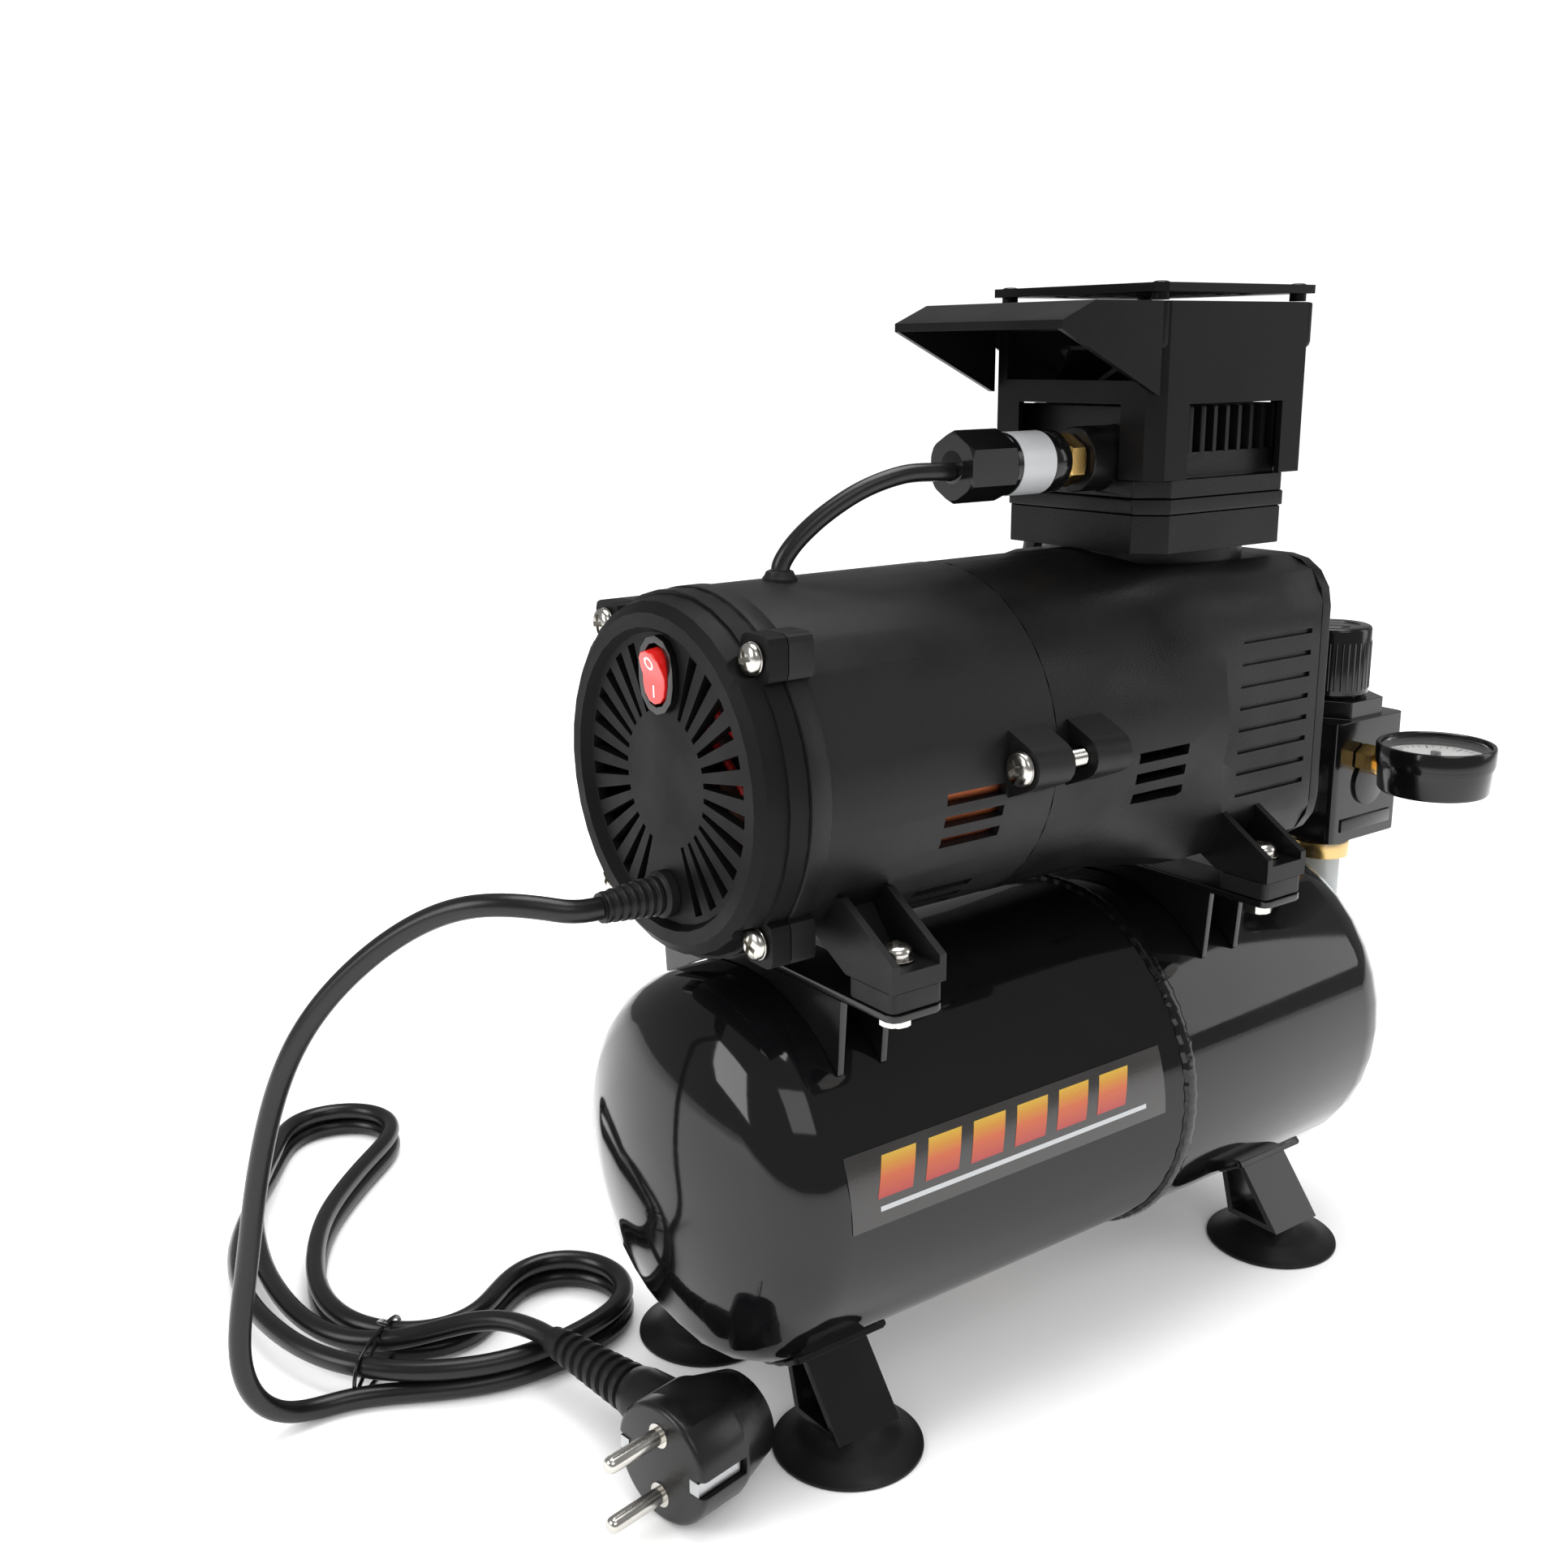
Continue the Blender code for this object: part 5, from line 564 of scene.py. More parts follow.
def mesh_of(shape, name, material):
    """A smooth-shaded mesh of a shape, with its sharp edges kept."""
    mesh = bpy.data.meshes.new(name)
    shape.to_mesh(mesh)
    shape.free()
    mesh.materials.append(material)
    mesh.shade_smooth()
    mesh.set_sharp_from_angle(angle=SHARP_ANGLE)
    return mesh


def piece(name, mesh, matrix, body, slot, *stands_for):
    """Add a piece that rides on a body, in place of the CAD nodes named."""
    thing = bpy.data.objects.new(name, mesh)
    thing.matrix_world = matrix
    bpy.context.scene.collection.objects.link(thing)
    bpy.context.view_layer.update()
    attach(thing, body)
    if stands_for:
        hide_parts(*stands_for)
    return thing


def add(name, shape, material, matrix, body, slot, *stands_for):
    """Add a shape as a piece with a mesh of the same name."""
    return piece(name, mesh_of(shape, name, material), matrix, body, slot, *stands_for)


def node_centre(node):
    """The middle of a node's box, in metres."""
    low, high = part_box(node)
    return (low + high) / 2


def node_size(node):
    """A node's size in millimetres."""
    low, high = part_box(node)
    return (high - low) / MM


def facing(axis, place):
    """Local Z along an axis of the world, at a place in metres."""
    turn = {"+X": Matrix.Rotation(math.pi / 2, 4, "Y"), "-X": Matrix.Rotation(-math.pi / 2, 4, "Y"),
            "+Y": Matrix.Rotation(-math.pi / 2, 4, "X"), "-Y": Matrix.Rotation(math.pi / 2, 4, "X"),
            "+Z": Matrix.Identity(4), "-Z": Matrix.Rotation(math.pi, 4, "X")}[axis]
    return Matrix.Translation(place) @ turn


# ------------ screws

def cross_recess(radius, low, high):
    """A cross, its arms a share of the head's radius."""
    arm = radius * 0.17
    reach = radius * 0.62
    outline = [(arm, arm), (arm, reach), (-arm, reach), (-arm, arm), (-reach, arm), (-reach, -arm),
               (-arm, -arm), (-arm, -reach), (arm, -reach), (arm, -arm), (reach, -arm), (reach, arm)]
    return prism(outline, low, high)


def screw_head(radius, height):
    """Pan head with a cross recess, seat at zero."""
    rim = height * 0.35
    profile = [(0, 0), (radius, 0), (radius, rim)]
    for degrees in (20, 40, 60, 78):
        angle = math.radians(degrees)
        profile.append((radius * math.cos(angle) ** 0.7, rim + (height - rim) * math.sin(angle)))
    profile.append((0, height))
    return carved(lathe(profile, 32), cross_recess(radius, rim, height + 1))


def washer(inner, outer, low, high):
    return softened(lathe([(inner, low), (outer, low), (outer, high), (inner, high)], 40), 0.12, 1)


def hex_nut(radius, low, high, bore):
    outline = arc((0, 0), radius, 0, 360, 6)[:-1]
    nut = prism(outline, low, high)
    cone = [(0, low - 0.01), (radius * 0.9, low - 0.01), (radius * 1.02, low + radius * 0.1),
            (radius * 1.02, high - radius * 0.1), (radius * 0.9, high + 0.01), (0, high + 0.01)]
    nut = carved(nut, lathe(cone, 36), "INTERSECT")
    return carved(nut, lathe([(0, low - 1), (bore, low - 1), (bore, high + 1), (0, high + 1)], 24))


def threaded_rod(radius, low, high, pitch=0.8):
    """Rod with a ring groove for each turn of its thread."""
    profile = [(0, low)]
    count = max(2, int((high - low) / pitch))
    for ring in range(count):
        start = low + (high - low) * ring / count
        profile += [(radius, start), (radius * 0.9, start + (high - low) / count * 0.5)]
    profile += [(radius, high), (0, high)]
    return lathe(profile, 20)


WASHER = 0.6
HEAD_SEAT = 3.0
NUT_TOP = 4.2
CASE_SCREW_Y = 38.5
CASE_SCREW_Z = 37.5


def place_screws(kind, count, mesh, first_twist, twist):
    """A screw at each numbered node, its head toward -X, each turned a little further."""
    for number in range(1, count + 1):
        node = f"{kind}_{number}"
        place = node_centre(node)
        place.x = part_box(node)[0].x + HEAD_SEAT * MM
        turn = Matrix.Rotation(math.radians(first_twist + twist * number), 4, "Z")
        piece(f"{node}_detail", mesh, facing("-X", place) @ turn, "frame", "screw_nickel", node)


def make_cover_screws(looks):
    """Pan heads with washers and threads, round the rear cover."""
    size = node_size("cover_screw_1")
    radius = size.y / 2
    head = lifted(screw_head(radius, 2.5), WASHER)
    ring = washer(2.1, radius * 1.05, 0.02, WASHER)
    shank = threaded_rod(1.95, HEAD_SEAT - size.x, 0)
    mesh = mesh_of(gathered(head, ring, shank), "pan_screw", looks["nickel"])
    place_screws("cover_screw", 4, mesh, 25, 40)


def make_clamp_screws(looks):
    """Larger pan heads on the clamp's lugs."""
    head = lifted(screw_head(4.9, 2.4), WASHER)
    ring = washer(2.7, 4.95, 0.02, WASHER)
    shank = threaded_rod(2.5, HEAD_SEAT - node_size("clamp_screw_1").x, 0)
    mesh = mesh_of(gathered(head, ring, shank), "clamp_screw", looks["nickel"])
    place_screws("clamp_screw", 2, mesh, 0, 35)


def make_motor_bolts(looks):
    """Pan head, plain and split washers, thread and nut, upright through each leg."""
    seat = node_size("motor_bolt_1").z - 4.2
    plain_top, split_top = seat + 0.45, seat + 0.9
    head = lifted(screw_head(4.6, 3.3), split_top)
    plain = washer(2.7, 5.5, seat + 0.02, plain_top)
    split = washer(2.6, 4.4, plain_top + 0.02, split_top)
    shank = threaded_rod(2.45, 0.2, seat)
    nut = hex_nut(4.9, 0.1, NUT_TOP, 2.4)
    mesh = mesh_of(gathered(head, plain, split, shank, nut), "motor_bolt", looks["nickel"])
    for number in range(1, 5):
        node = f"motor_bolt_{number}"
        place = node_centre(node)
        place.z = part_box(node)[0].z
        turn = Matrix.Rotation(math.radians(50 * number), 4, "Z")
        piece(f"{node}_detail", mesh, facing("+Z", place) @ turn, "frame", "screw_nickel", node)


def make_case_screws(looks):
    """Four screws at the corners of the crankcase's end cover."""
    head = lifted(screw_head(4.0, 2.4), 0.4)
    mesh = mesh_of(gathered(head, washer(1, 4.3, 0.01, 0.4)), "case_screw", looks["nickel"])
    centre = node_centre("crankcase_cover")
    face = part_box("crankcase_cover")[1].x
    number = 0
    for y in (-CASE_SCREW_Y, CASE_SCREW_Y):
        for z in (-CASE_SCREW_Z, CASE_SCREW_Z):
            number += 1
            place = Vector((face, centre.y + y * MM, centre.z + z * MM))
            turn = Matrix.Rotation(number, 4, "Z")
            piece(f"case_screw_{number}", mesh, facing("+X", place) @ turn, "frame", "screw_nickel")


# ------------ tank and feet

BEAD_X = 22.6
BEAD_RISE = 1.55
BEAD_HALF = 2.5
BEAD_RIPPLES = 66


def make_weld_bead(looks):
    """Rippled weld round the tank where its two shells meet."""
    shape = bmesh.new()
    around, across = 360, 8
    rings = []
    for step in range(around):
        angle = math.tau * step / around
        wave = math.sin(angle * BEAD_RIPPLES)
        rise = BEAD_RISE + 0.22 * abs(wave) + 0.1 * math.sin(angle * 7)
        ring = []
        for part in range(across):
            turn = math.tau * part / across
            radius = TANK_RADIUS + 0.1 + rise * math.cos(turn)
            x = BEAD_X + BEAD_HALF * math.sin(turn) + 0.25 * wave
            ring.append(shape.verts.new(spot(x, radius * math.cos(angle),
                                             TANK_HEIGHT + radius * math.sin(angle))))
        rings.append(ring)
    for here, there in zip(rings, rings[1:] + rings[:1]):
        for part in range(across):
            following = (part + 1) % across
            shape.faces.new((here[part], here[following], there[following], there[part]))
    bmesh.ops.recalc_face_normals(shape, faces=shape.faces)
    add("tank_weld_bead", shape, looks["weld"], Matrix.Identity(4), "frame", "tank_paint")


def tank_patch(name, ends, angles, lift, skew, material, slot, columns=48, rows=10):
    """A thin sheet that follows the tank's side, its ends leaning by the skew."""
    shape = bmesh.new()
    grid = []
    for column in range(columns + 1):
        line = []
        for row in range(rows + 1):
            share = row / rows
            x = ends[0] + (ends[1] - ends[0]) * column / columns + skew * (share - 0.5)
            angle = math.radians(angles[0] + (angles[1] - angles[0]) * share)
            radius = TANK_RADIUS + lift
            line.append(shape.verts.new(spot(x, radius * math.cos(angle),
                                             TANK_HEIGHT + radius * math.sin(angle))))
        grid.append(line)
    for here, there in zip(grid, grid[1:]):
        for row in range(rows):
            shape.faces.new((here[row], there[row], there[row + 1], here[row + 1]))
    bmesh.ops.recalc_face_normals(shape, faces=shape.faces)
    bmesh.ops.solidify(shape, geom=shape.faces[:], thickness=0.04 * MM)
    add(name, shape, material, Matrix.Identity(4), "frame", slot)


LABEL_ANGLES = (157.5, 178.5)
BAR_ANGLES = (160, 171)
LINE_ANGLES = (173.2, 174.6)
LABEL_SPAN = (-115, 11)
LINE_SPAN = (-105, 2)
BACKING_LIFT = 0.06
PRINT_LIFT = 0.14
BARS = 6
BAR_START = -104
BAR_PITCH = 17.2
BAR_WIDTH = 12.5
BAR_SLANT = -3.5


def label_height(angle):
    """How high a place on the tank's side is, in metres."""
    return spot(0, 0, TANK_HEIGHT + TANK_RADIUS * math.sin(math.radians(angle))).z


def flame_look():
    """Red at the foot through orange to yellow at the top, for the label's bars."""
    material = surface("label_flame", (0.7, 0.2, 0.02), 0.3, coat=0.4, grain=0.05)
    nodes = material.node_tree.nodes
    link = material.node_tree.links.new
    place = nodes.new("ShaderNodeTexCoord")
    split = nodes.new("ShaderNodeSeparateXYZ")
    ramp = nodes.new("ShaderNodeValToRGB")
    height = nodes.new("ShaderNodeMapRange")
    put(height, From_Min=label_height(BAR_ANGLES[1]), From_Max=label_height(BAR_ANGLES[0]))
    ramp.color_ramp.elements[0].color = (0.3, 0.01, 0.008, 1)
    ramp.color_ramp.elements[1].color = (0.48, 0.3, 0.03, 1)
    middle = ramp.color_ramp.elements.new(0.5)
    middle.color = (0.42, 0.07, 0.008, 1)
    link(place.outputs["Object"], split.inputs["Vector"])
    link(split.outputs["Z"], height.inputs["Value"])
    link(height.outputs["Result"], ramp.inputs["Fac"])
    link(ramp.outputs["Color"], nodes["Principled BSDF"].inputs["Base Color"])
    return material


def make_label(looks):
    """Plain label without lettering: a dark panel, slanted bars and a thin line below."""
    backing = surface("label_backing", (0.02, 0.018, 0.017), 0.22, coat=0.3, grain=0.3, grain_size=0.6)
    tank_patch("tank_label", LABEL_SPAN, LABEL_ANGLES, BACKING_LIFT, 0, backing, "tank_paint")
    flame = flame_look()
    for bar in range(BARS):
        start = BAR_START + BAR_PITCH * bar
        tank_patch(f"label_bar_{bar + 1}", (start, start + BAR_WIDTH), BAR_ANGLES, PRINT_LIFT, BAR_SLANT,
                   flame, "red_plastic", columns=8)
    tank_patch("label_line", LINE_SPAN, LINE_ANGLES, PRINT_LIFT, 0, looks["label_grey"], "tank_paint",
               columns=24, rows=1)


def make_feet(looks):
    """Smooth suction cups with ringed tops, and zinc nuts on their studs."""
    profile = [(0, 3.4), (12, 1.9), (19.6, 0.35), (20.2, 0.02), (22.6, 0.02), (23, 0.4), (22.9, 1.1),
               (22.2, 1.5), (20.4, 2.0), (20.1, 2.3), (17.6, 3.2), (17.3, 3.6), (14.6, 4.8), (12.2, 6.1),
               (10.6, 7.3), (9.7, 8.3), (9.0, 9.05), (0, 9.1)]
    cup = mesh_of(lathe(profile, 96), "suction_cup", looks["rubber"])
    hardware = mesh_of(gathered(hex_nut(3.75, 12.05, 14.0, 2.3), threaded_rod(2.3, 9.0, 14.3)), "foot_stud",
                       looks["zinc"])
    for number in range(1, 5):
        node = f"foot_cup_{number}"
        low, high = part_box(node)
        place = Matrix.Translation(((low.x + high.x) / 2, (low.y + high.y) / 2, 0))
        piece(f"suction_cup_{number}", cup, place, "frame", "rubber", node)
        piece(f"foot_stud_{number}", hardware, place, "frame", "screw_nickel")


PAD_X = 99.5
PAD_HALF = 16.3
PAD_RADIUS = 61.1
PAD_START = -97.5
PAD_SPAN = 27.0
PAD_WELD_RADIUS = 1.1


def make_bracket_welds(looks):
    """Weld runs along the edges of the pads under the tank."""
    pads = [(x, side) for x in (-PAD_X, PAD_X) for side in (-1, 1)]
    for number, (x, side) in enumerate(pads, 1):
        for end, letter in ((-1, "a"), (1, "b")):
            points = []
            for step in range(15):
                angle = math.radians(PAD_START - PAD_SPAN * step / 14)
                radius = PAD_RADIUS + 0.15 * math.sin(step * 2.1 + number)
                points.append((x + end * PAD_HALF, side * abs(radius * math.cos(angle)),
                               TANK_HEIGHT + radius * math.sin(angle)))
            run = wire(f"pad_weld_{number}_{letter}", points, PAD_WELD_RADIUS, looks["weld"], samples=3)
            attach(run, "frame")


# ------------ motor and switch

RIM_BAND_X = -122.4


def make_rim_band(looks):
    """Slightly raised band where the shell meets the rear cover."""
    band = lathe([(51.2, 0), (52.2, 0), (52.45, 0.3), (52.45, 6.2), (52.2, 6.6), (51.2, 6.6)], 128)
    add("shell_rim_band", band, looks["barrel"], facing("+X", spot(RIM_BAND_X, 0, MOTOR_HEIGHT)), "frame",
        "housing_paint")


ROCKER_TILT = math.radians(-10)
ROCKER_HALF = 7.7
ROCKER_RISE = 1.2
ROCKER_FACE = 2.2


def make_rocker_marks(looks):
    """Ring on the upper half and bar on the lower half, printed white."""
    joint = [j for j in frame["joints"] if j["child"] == "rocker"][0]
    pivot = Matrix.Translation(Vector(joint["pos_m"])) @ Matrix.Rotation(ROCKER_TILT, 4, "Y")
    slope = math.atan2(ROCKER_RISE, ROCKER_HALF)
    ring = lathe([(1.35, 0), (1.95, 0), (1.95, 0.12), (1.35, 0.12)], 40)
    bar = softened(prism([(-1.7, -0.32), (1.7, -0.32), (1.7, 0.32), (-1.7, 0.32)], 0, 0.12), 0.04, 1)
    for name, shape, up in (("rocker_ring", ring, 4.0), ("rocker_bar", bar, -4.0)):
        out = ROCKER_FACE + ROCKER_RISE * abs(up) / ROCKER_HALF - 0.03
        lean = -math.pi / 2 - math.copysign(slope, up)
        local = Matrix.Translation((-out * MM, 0, up * MM)) @ Matrix.Rotation(lean, 4, "Y")
        add(name, shape, looks["white"], pivot @ local, "rocker", "red_plastic")


GLAND_RINGS = 7
GLAND_RINGS_LENGTH = 18.0


def make_gland(looks):
    """Ribbed strain relief: a collar on the cover, then rings that taper to the cord."""
    profile = [(0, 0), (6.8, 0), (6.8, 2.6), (6.3, 3.2), (5.9, 3.6)]
    for ring in range(GLAND_RINGS):
        start = 3.8 + GLAND_RINGS_LENGTH * ring / GLAND_RINGS
        radius = 5.8 - 1.5 * ring / GLAND_RINGS
        profile += [(radius - 0.55, start), (radius, start + 0.5), (radius, start + 1.5),
                    (radius - 0.55, start + 1.9)]
    profile += [(4.3, 21.7), (0, 21.7)]
    base = node_centre("cord_gland")
    base.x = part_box("rear_cover")[0].x + 2.4 * MM
    add("cord_gland_detail", lathe(profile, 48), looks["rubber"], facing("-X", base), "frame", "rubber",
        "cord_gland")


INNER_WIRE_RADIUS = 1.1


def make_inner_wires(looks):
    """Switch wires behind the slotted cover."""
    routes = {
        "switch_wire_1": [(-123, -6, 226), (-124, -14, 222), (-123, -24, 216), (-122, -31, 206),
                          (-120, -30, 194), (-112, -28, 186)],
        "switch_wire_2": [(-123, -3, 222), (-125, -10, 217), (-124, -19, 209), (-122, -25, 199),
                          (-118, -26, 188), (-112, -24, 180)],
    }
    for name, route in routes.items():
        lead = wire(name, route, INNER_WIRE_RADIUS, looks["wire_red"])
        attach(lead, "frame")


LEAD_RADIUS = 2.7
LEAD_HEIGHT = 284.1
LEAD_DROP_X = -94.0
BARREL_TOP = 256.1


def make_lead(looks):
    """The pressure switch's lead and its grommet in the barrel."""
    z = LEAD_HEIGHT
    route = [(-40.0, -11, z), (-46, -11, z + 0.3), (-57, -9.5, z), (-69, -6.8, z - 3.5), (-80, -4.2, z - 9.5),
             (-88.6, -1.9, z - 16.5), (LEAD_DROP_X + 0.6, -0.4, z - 23), (LEAD_DROP_X, 0, BARREL_TOP + 0.1)]
    lead = wire("switch_lead_detail", route, LEAD_RADIUS, looks["cord"], samples=8)
    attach(lead, "frame")
    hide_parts("switch_lead")
    profile = [(0, 0), (5.0, 0), (5.0, 0.8), (4.4, 1.5), (3.9, 2.6), (3.0, 3.0), (0, 3.0)]
    add("lead_grommet", lathe(profile, 40), looks["rubber"], facing("+Z", spot(LEAD_DROP_X, 0, BARREL_TOP)),
        "frame", "rubber")


CAP_LENGTH = 18.0
BAND_END = 33.6
BODY_END = 41.5
FOOT_END = 48.9


def make_pressure_switch(looks):
    """Hexagonal cap, banded body and brass foot, along +X from the cap's end."""
    start = node_centre("pressure_switch")
    start.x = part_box("pressure_switch")[0].x
    place = facing("+X", start)
    cap = hex_nut(10.6, 0, CAP_LENGTH, 2.9)
    rib = lathe([(8.8, CAP_LENGTH), (9.4, 18.3), (9.4, 19.6), (8.8, 20)], 64)
    collar = lathe([(0, CAP_LENGTH - 0.5), (9.2, CAP_LENGTH - 0.5), (9.3, 34), (0, 34)], 64)
    ring = softened(lathe([(0, 34), (9.4, 34), (9.4, 39.5), (8.2, BODY_END), (0, BODY_END)], 64), 0.3)
    nose = softened(lathe([(0, -0.02), (5, -0.02), (5, 1.0), (0, 1.0)], 40), 0.2)
    add("pressure_switch_body", gathered(cap, rib, collar, ring, nose), looks["shiny"], place, "frame",
        "shiny_plastic", "pressure_switch")
    band = lathe([(9.2, 20.2), (9.45, 20.2), (9.45, BAND_END), (9.2, BAND_END)], 64)
    add("pressure_switch_band", band, looks["label_grey"], place, "frame", "shiny_plastic")
    neck = lathe([(0, 41), (5.4, 41), (5.4, FOOT_END), (0, FOOT_END)], 40)
    add("pressure_switch_foot", gathered(hex_nut(8.1, 42.2, 48.4, 3), neck), looks["brass"], place, "frame",
        "brass")


# ------------ gauge, regulator and pipes

GAUGE_SWEEP = 270.0
GAUGE_TICKS = 30
TICKS_TO_A_LONG_ONE = 5
TICK_END = 16.6
DIAL_TOP = 11.7


def standing_on(node):
    """The middle of a node's underside, as a matrix."""
    place = node_centre(node)
    place.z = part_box(node)[0].z
    return Matrix.Translation(place)


def make_gauge(looks):
    """Case with its rim, white dial and ticks."""
    base = standing_on("gauge_case")
    profile = [(0, 0), (17.6, 0), (18.6, 0.3), (19.2, 1.2), (19.7, 9.8), (20.2, 10.0), (20.2, 10.9),
               (20.5, 11.1), (20.5, 16.9), (20.1, 17.45), (19.2, 17.5), (18.8, 17.2), (18.8, 11.6), (0, 11.6)]
    add("gauge_case_detail", lathe(profile, 96), looks["shiny"], base, "frame", "shiny_plastic", "gauge_case")
    dial = lathe([(0, 11.62), (18.7, 11.62), (18.7, DIAL_TOP), (0, DIAL_TOP)], 96)
    add("gauge_dial", dial, looks["white"], base, "frame", "shiny_plastic")
    marks = []
    for step in range(GAUGE_TICKS + 1):
        angle = -GAUGE_SWEEP / 2 - GAUGE_SWEEP * step / GAUGE_TICKS
        start, half = (13.2, 0.22) if step % TICKS_TO_A_LONG_ONE == 0 else (14.6, 0.12)
        outline = [(start, -half), (TICK_END, -half), (TICK_END, half), (start, half)]
        mark = prism(outline, DIAL_TOP - 0.02, DIAL_TOP + 0.08)
        marks.append(placed(mark, Matrix.Rotation(math.radians(angle), 4, "Z")))
    add("gauge_marks", gathered(*marks), looks["shiny"], base, "frame", "shiny_plastic")


KNOB_RIBS = 36
KNOB_RADIUS = 13.4
BOSS_HEIGHT = 160.0


def make_regulator(looks):
    """Knob with its grip ribs and top ring, and the block's moulded boss and bar."""
    profile = [(11.2, 0), (13.0, 0), (KNOB_RADIUS, 0.4), (KNOB_RADIUS, 24.3), (12.9, 25.2), (12.2, 25.5),
               (9.0, 25.5), (8.7, 25.1), (8.4, 24.9), (5.6, 24.9), (5.3, 25.2), (5.0, 25.3), (0, 25.3),
               (0, 22.6), (11.2, 22.6)]
    parts = [lathe(profile, 96)]
    for step in range(KNOB_RIBS):
        rib = prism(arc((KNOB_RADIUS - 0.15, 0), 0.42, 0, 360, 8)[:-1], 2.2, 20)
        parts.append(placed(rib, Matrix.Rotation(math.tau * step / KNOB_RIBS, 4, "Z")))
    add("knob_detail", gathered(*parts), looks["shiny"], standing_on("knob"), "knob", "shiny_plastic", "knob")
    near = node_centre("regulator_body")
    near.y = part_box("regulator_body")[0].y
    near.z = BOSS_HEIGHT * MM
    boss = softened(lathe([(0, -0.5), (9, -0.5), (9, 1.2), (0, 1.2)], 56), 0.35)
    bar = softened(prism([(-15, -18), (15, -18), (15, -13), (-15, -13)], -0.4, 0.7), 0.3)
    add("regulator_side_detail", gathered(boss, bar), looks["shiny"], facing("-Y", near), "frame",
        "shiny_plastic")


def make_bowl(looks):
    """Clear bowl with the porous filter and brass baffle inside it."""
    base = standing_on("bowl")
    wall = [(3.1, 0.2), (12.5, 0.0), (14.8, 1.2), (16.4, 4.0), (17.0, 8.0), (18, 52), (18, 55.9), (16, 55.9),
            (16, 52), (15.0, 8), (14.4, 5.0), (12.5, 2.6), (3.1, 2.2)]
    add("bowl_detail", lathe(wall, 96), looks["clear"], base, "frame", "clear", "bowl")
    stone = softened(lathe([(0, 22), (7.5, 22), (8, 23), (8, 46), (0, 46)], 48), 0.3)
    add("bowl_filter", stone, looks["white"], base, "frame", "light_alloy")
    baffle = lathe([(0, 17), (12.5, 19), (12.8, 20.5), (4, 21.8), (0, 21.8)], 48)
    holder = lathe([(0, 46), (11, 46), (11, 52), (0, 52)], 48)
    add("bowl_baffle", softened(gathered(baffle, holder), 0.25), looks["brass"], base, "frame", "brass")


SUPPLY_HEIGHT = 165.0
PIPE_X = 75.0
OUTLET_PLACE = (118, 0, 143.2)
FLANGE_TO_PIPE = 5.85


def make_pipe_nuts(looks):
    """Hexagonal nuts where the pipes end: regulator, tank's end, head and tank's shoulder."""
    nut = mesh_of(hex_nut(7, 0, 7, 4.05), "pipe_nut", looks["steel"])
    block = node_centre("regulator_body")
    block.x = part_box("regulator_body")[0].x - 0.1 * MM
    block.z = SUPPLY_HEIGHT * MM
    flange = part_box("cylinder")[1]
    head = Vector((spot(PIPE_X, 0, 0).x, flange.y + 0.1 * MM, flange.z - FLANGE_TO_PIPE * MM))
    lean = math.radians(45)
    reach = TANK_RADIUS + 0.2
    shoulder = Matrix.Translation(
        spot(PIPE_X, reach * math.sin(lean), TANK_HEIGHT + reach * math.cos(lean)))
    places = {"supply_nut": facing("-X", block), "tank_outlet_nut": facing("+Z", spot(*OUTLET_PLACE)),
              "head_outlet_nut": facing("+Y", head),
              "tank_inlet_nut": shoulder @ Matrix.Rotation(-lean, 4, "X")}
    for name, place in places.items():
        piece(name, nut, place, "frame", "steel")


# ------------ plug

PLUG_RADIUS = 18.0
PLUG_DEPTH = 33.0
PLUG_LENGTH = 70.0
PLUG_FLAT = 15.2
PLUG_CONTACT = 16.1
PLUG_TIP = (-157.6, 38.0, 18.5)
PLUG_YAW = math.radians(10)
PIN_RADIUS = 2.4
PIN_LENGTH = 19.0
PIN_SPREAD = 9.5
RIB_PITCH = 4.4
RIB_COUNT = 8


def plug_body():
    """Round face with a square groove either side for the contacts, flats behind and a tapered back."""
    profile = [(0, 0), (PLUG_RADIUS - 1.6, 0), (PLUG_RADIUS - 0.8, 0.25), (PLUG_RADIUS - 0.2, 0.9),
               (PLUG_RADIUS, 1.8), (PLUG_RADIUS, 17), (PLUG_RADIUS - 0.4, 18.5), (PLUG_RADIUS - 1.4, 20.5),
               (13.4, PLUG_DEPTH - 0.8), (12.6, PLUG_DEPTH - 0.1), (0, PLUG_DEPTH)]
    body = lathe(profile, 96)
    for side in (-1, 1):
        groove = [(side * 15.4, -2.6), (side * 22, -2.6), (side * 22, 2.6), (side * 15.4, 2.6)]
        body = carved(body, prism(groove[::side], -2, 16.5))
        flat = [(-30, side * PLUG_FLAT), (30, side * PLUG_FLAT), (30, side * 30), (-30, side * 30)]
        body = carved(body, prism(flat[::side], 6, 40))
    return softened(body, 0.35, 2, 50)


def plug_relief():
    """Tapered grip with raised rings, from inside the plug out to the cord."""
    profile = [(0, 6), (9.2, 6), (9.4, 16), (8.6, 27), (7.6, 31)]
    for ring in range(RIB_COUNT):
        start = 32.5 + RIB_PITCH * ring
        size = 7.3 - 2.5 * ring / RIB_COUNT
        profile += [(size - 1.0, start), (size, start + 0.5), (size, start + 2.3), (size - 1.0, start + 2.8)]
    profile += [(4.4, PLUG_LENGTH - 0.8), (4.2, PLUG_LENGTH - 0.1), (0, PLUG_LENGTH - 0.1)]
    return lathe(profile, 64)


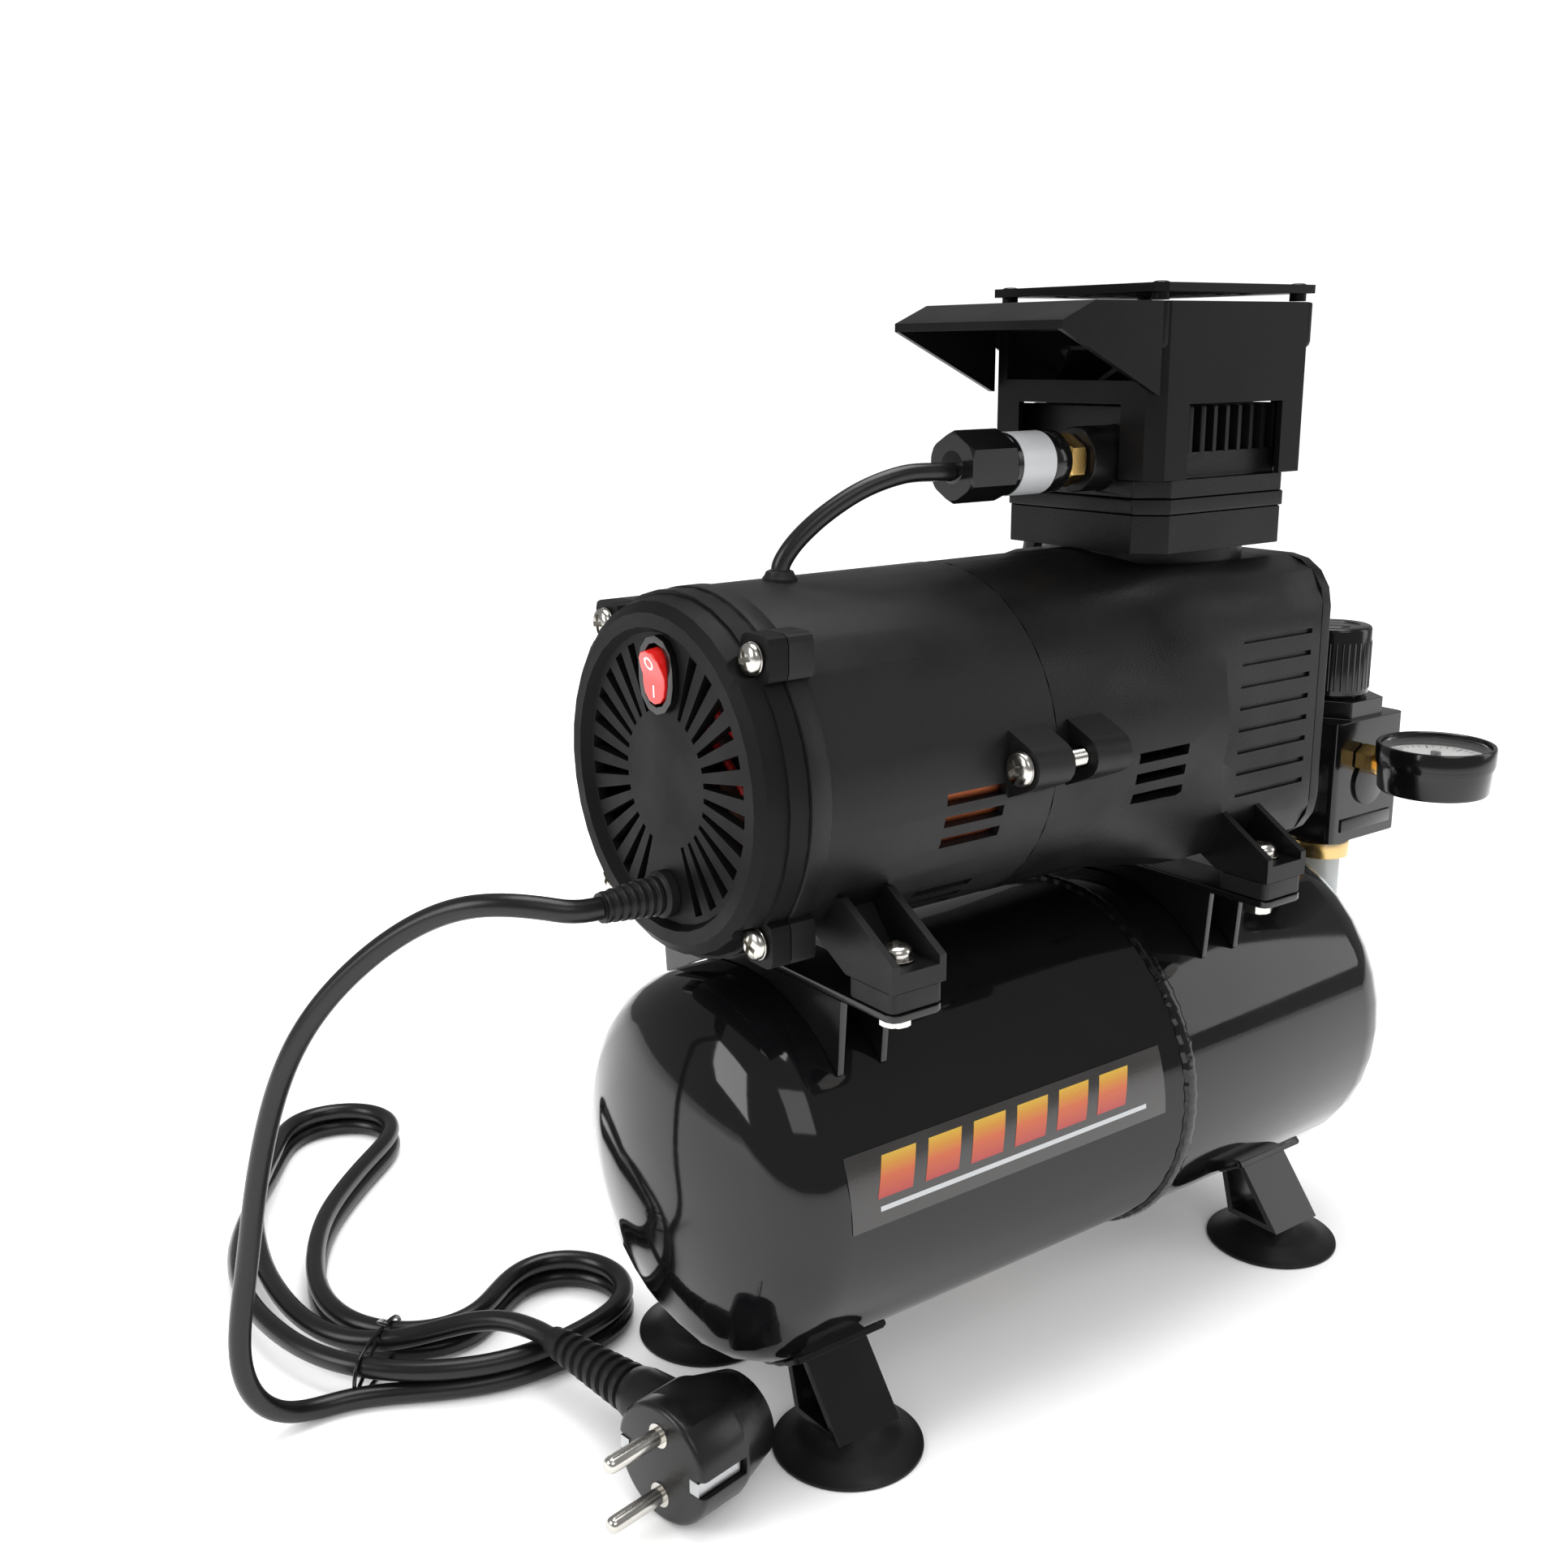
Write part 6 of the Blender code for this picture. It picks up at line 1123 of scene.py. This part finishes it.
def plug_contacts():
    """A sprung contact strip down each side groove, folded over the plug's face."""
    strips = []
    for side in (-1, 1):
        for inner, low, high in ((15.3, 0.1, 15.5), (12.6, -0.35, 0.2)):
            outline = [(side * inner, -2.1), (side * PLUG_CONTACT, -2.1), (side * PLUG_CONTACT, 2.1),
                       (side * inner, 2.1)]
            strips.append(prism(outline[::side], low, high))
    return gathered(*strips)


def plug_pin():
    """Round pin with a domed end and a flange where it leaves the face."""
    pin = [(0, 0.5), (PIN_RADIUS, 0.5), (PIN_RADIUS, 2.1 - PIN_LENGTH), (PIN_RADIUS - 0.2, 1 - PIN_LENGTH),
           (PIN_RADIUS - 0.7, 0.3 - PIN_LENGTH), (0.9, -PIN_LENGTH), (0, -PIN_LENGTH)]
    flange = [(PIN_RADIUS, 0.3), (PIN_RADIUS + 1.2, 0.3), (PIN_RADIUS + 1.2, -0.35), (PIN_RADIUS, -0.35)]
    return gathered(lathe(pin, 40), lathe(flange, 40))


def make_plug(looks):
    """Angled earthed plug: face toward local -X, grip and cord along local +Y."""
    yaw = Matrix.Rotation(PLUG_YAW, 4, "Z")
    corner = Vector(spot(*PLUG_TIP)) - (yaw @ Vector((PLUG_RADIUS * MM, PLUG_LENGTH * MM, 0)))
    place = Matrix.Translation(corner) @ yaw
    forward = place @ Z_ALONG_X
    along = place @ Matrix.Translation((PLUG_RADIUS * MM, 0, 0)) @ Matrix.Rotation(-math.pi / 2, 4, "X")
    pieces = [add("plug_body", plug_body(), looks["cord"], forward, "frame", "rubber", "plug"),
              add("plug_relief", plug_relief(), looks["rubber"], along, "frame", "rubber"),
              add("plug_contacts", plug_contacts(), looks["zinc"], forward, "frame", "screw_nickel")]
    for number, z in enumerate((-PIN_SPREAD, PIN_SPREAD), 1):
        turned = place @ Matrix.Translation((0, 0, z * MM)) @ Matrix.Rotation(math.pi / 2, 4, "Y")
        pieces.append(add(f"plug_pin_{number}", plug_pin(), looks["nickel"], turned, "frame", "screw_nickel"))
    return pieces


# ------------ head and fan cover

HEAD_BOLT_OFFSET = 29.5
SLEEVE_OFFSET = 33.2
GUARD_SCREW_OFFSET = 32.0


def at_corners(name, mesh, half, height, slot):
    """Four copies at the corners of a square about the head's axis, at a height in metres."""
    number = 0
    for x in (-half, half):
        for y in (-half, half):
            number += 1
            place = spot(HEAD_X + x, y, 0)
            place.z = height
            piece(f"{name}_{number}", mesh, facing("+Z", place), "frame", slot)


def make_head_details(looks):
    """Head bolts between the fins, sleeves down the shroud's corners and screws in the guard."""
    bolt = mesh_of(lifted(screw_head(3.6, 2.6), 0.3), "head_bolt", looks["zinc"])
    at_corners("head_bolt", bolt, HEAD_BOLT_OFFSET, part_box("cylinder_head")[0].z + 5.4 * MM, "screw_nickel")
    profile = [(0, -14.2), (1.6, -14), (2.6, -13.2), (3.0, -12), (3.0, -0.4), (2.6, 0), (0, 0)]
    sleeve = mesh_of(lathe(profile, 40), "guard_sleeve", looks["plastic"])
    at_corners("guard_sleeve", sleeve, SLEEVE_OFFSET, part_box("shroud")[1].z - 0.1 * MM, "dull_plastic")
    screw = mesh_of(screw_head(2.5, 0.9), "guard_screw", looks["shiny"])
    at_corners("guard_screw", screw, GUARD_SCREW_OFFSET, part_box("fan_guard")[1].z - 0.3 * MM, "dull_plastic")


LOOKS = make_materials()
make_camera()
make_studio()
dress_nodes(LOOKS, smoothing_group())
for make in (make_cover_screws, make_clamp_screws, make_motor_bolts, make_case_screws, make_weld_bead,
             make_label, make_feet, make_bracket_welds, make_rim_band, make_rocker_marks, make_gland,
             make_inner_wires, make_lead, make_pressure_switch, make_gauge, make_regulator, make_bowl,
             make_pipe_nuts):
    make(LOOKS)
make_cord(LOOKS, make_plug(LOOKS))
make_head_details(LOOKS)
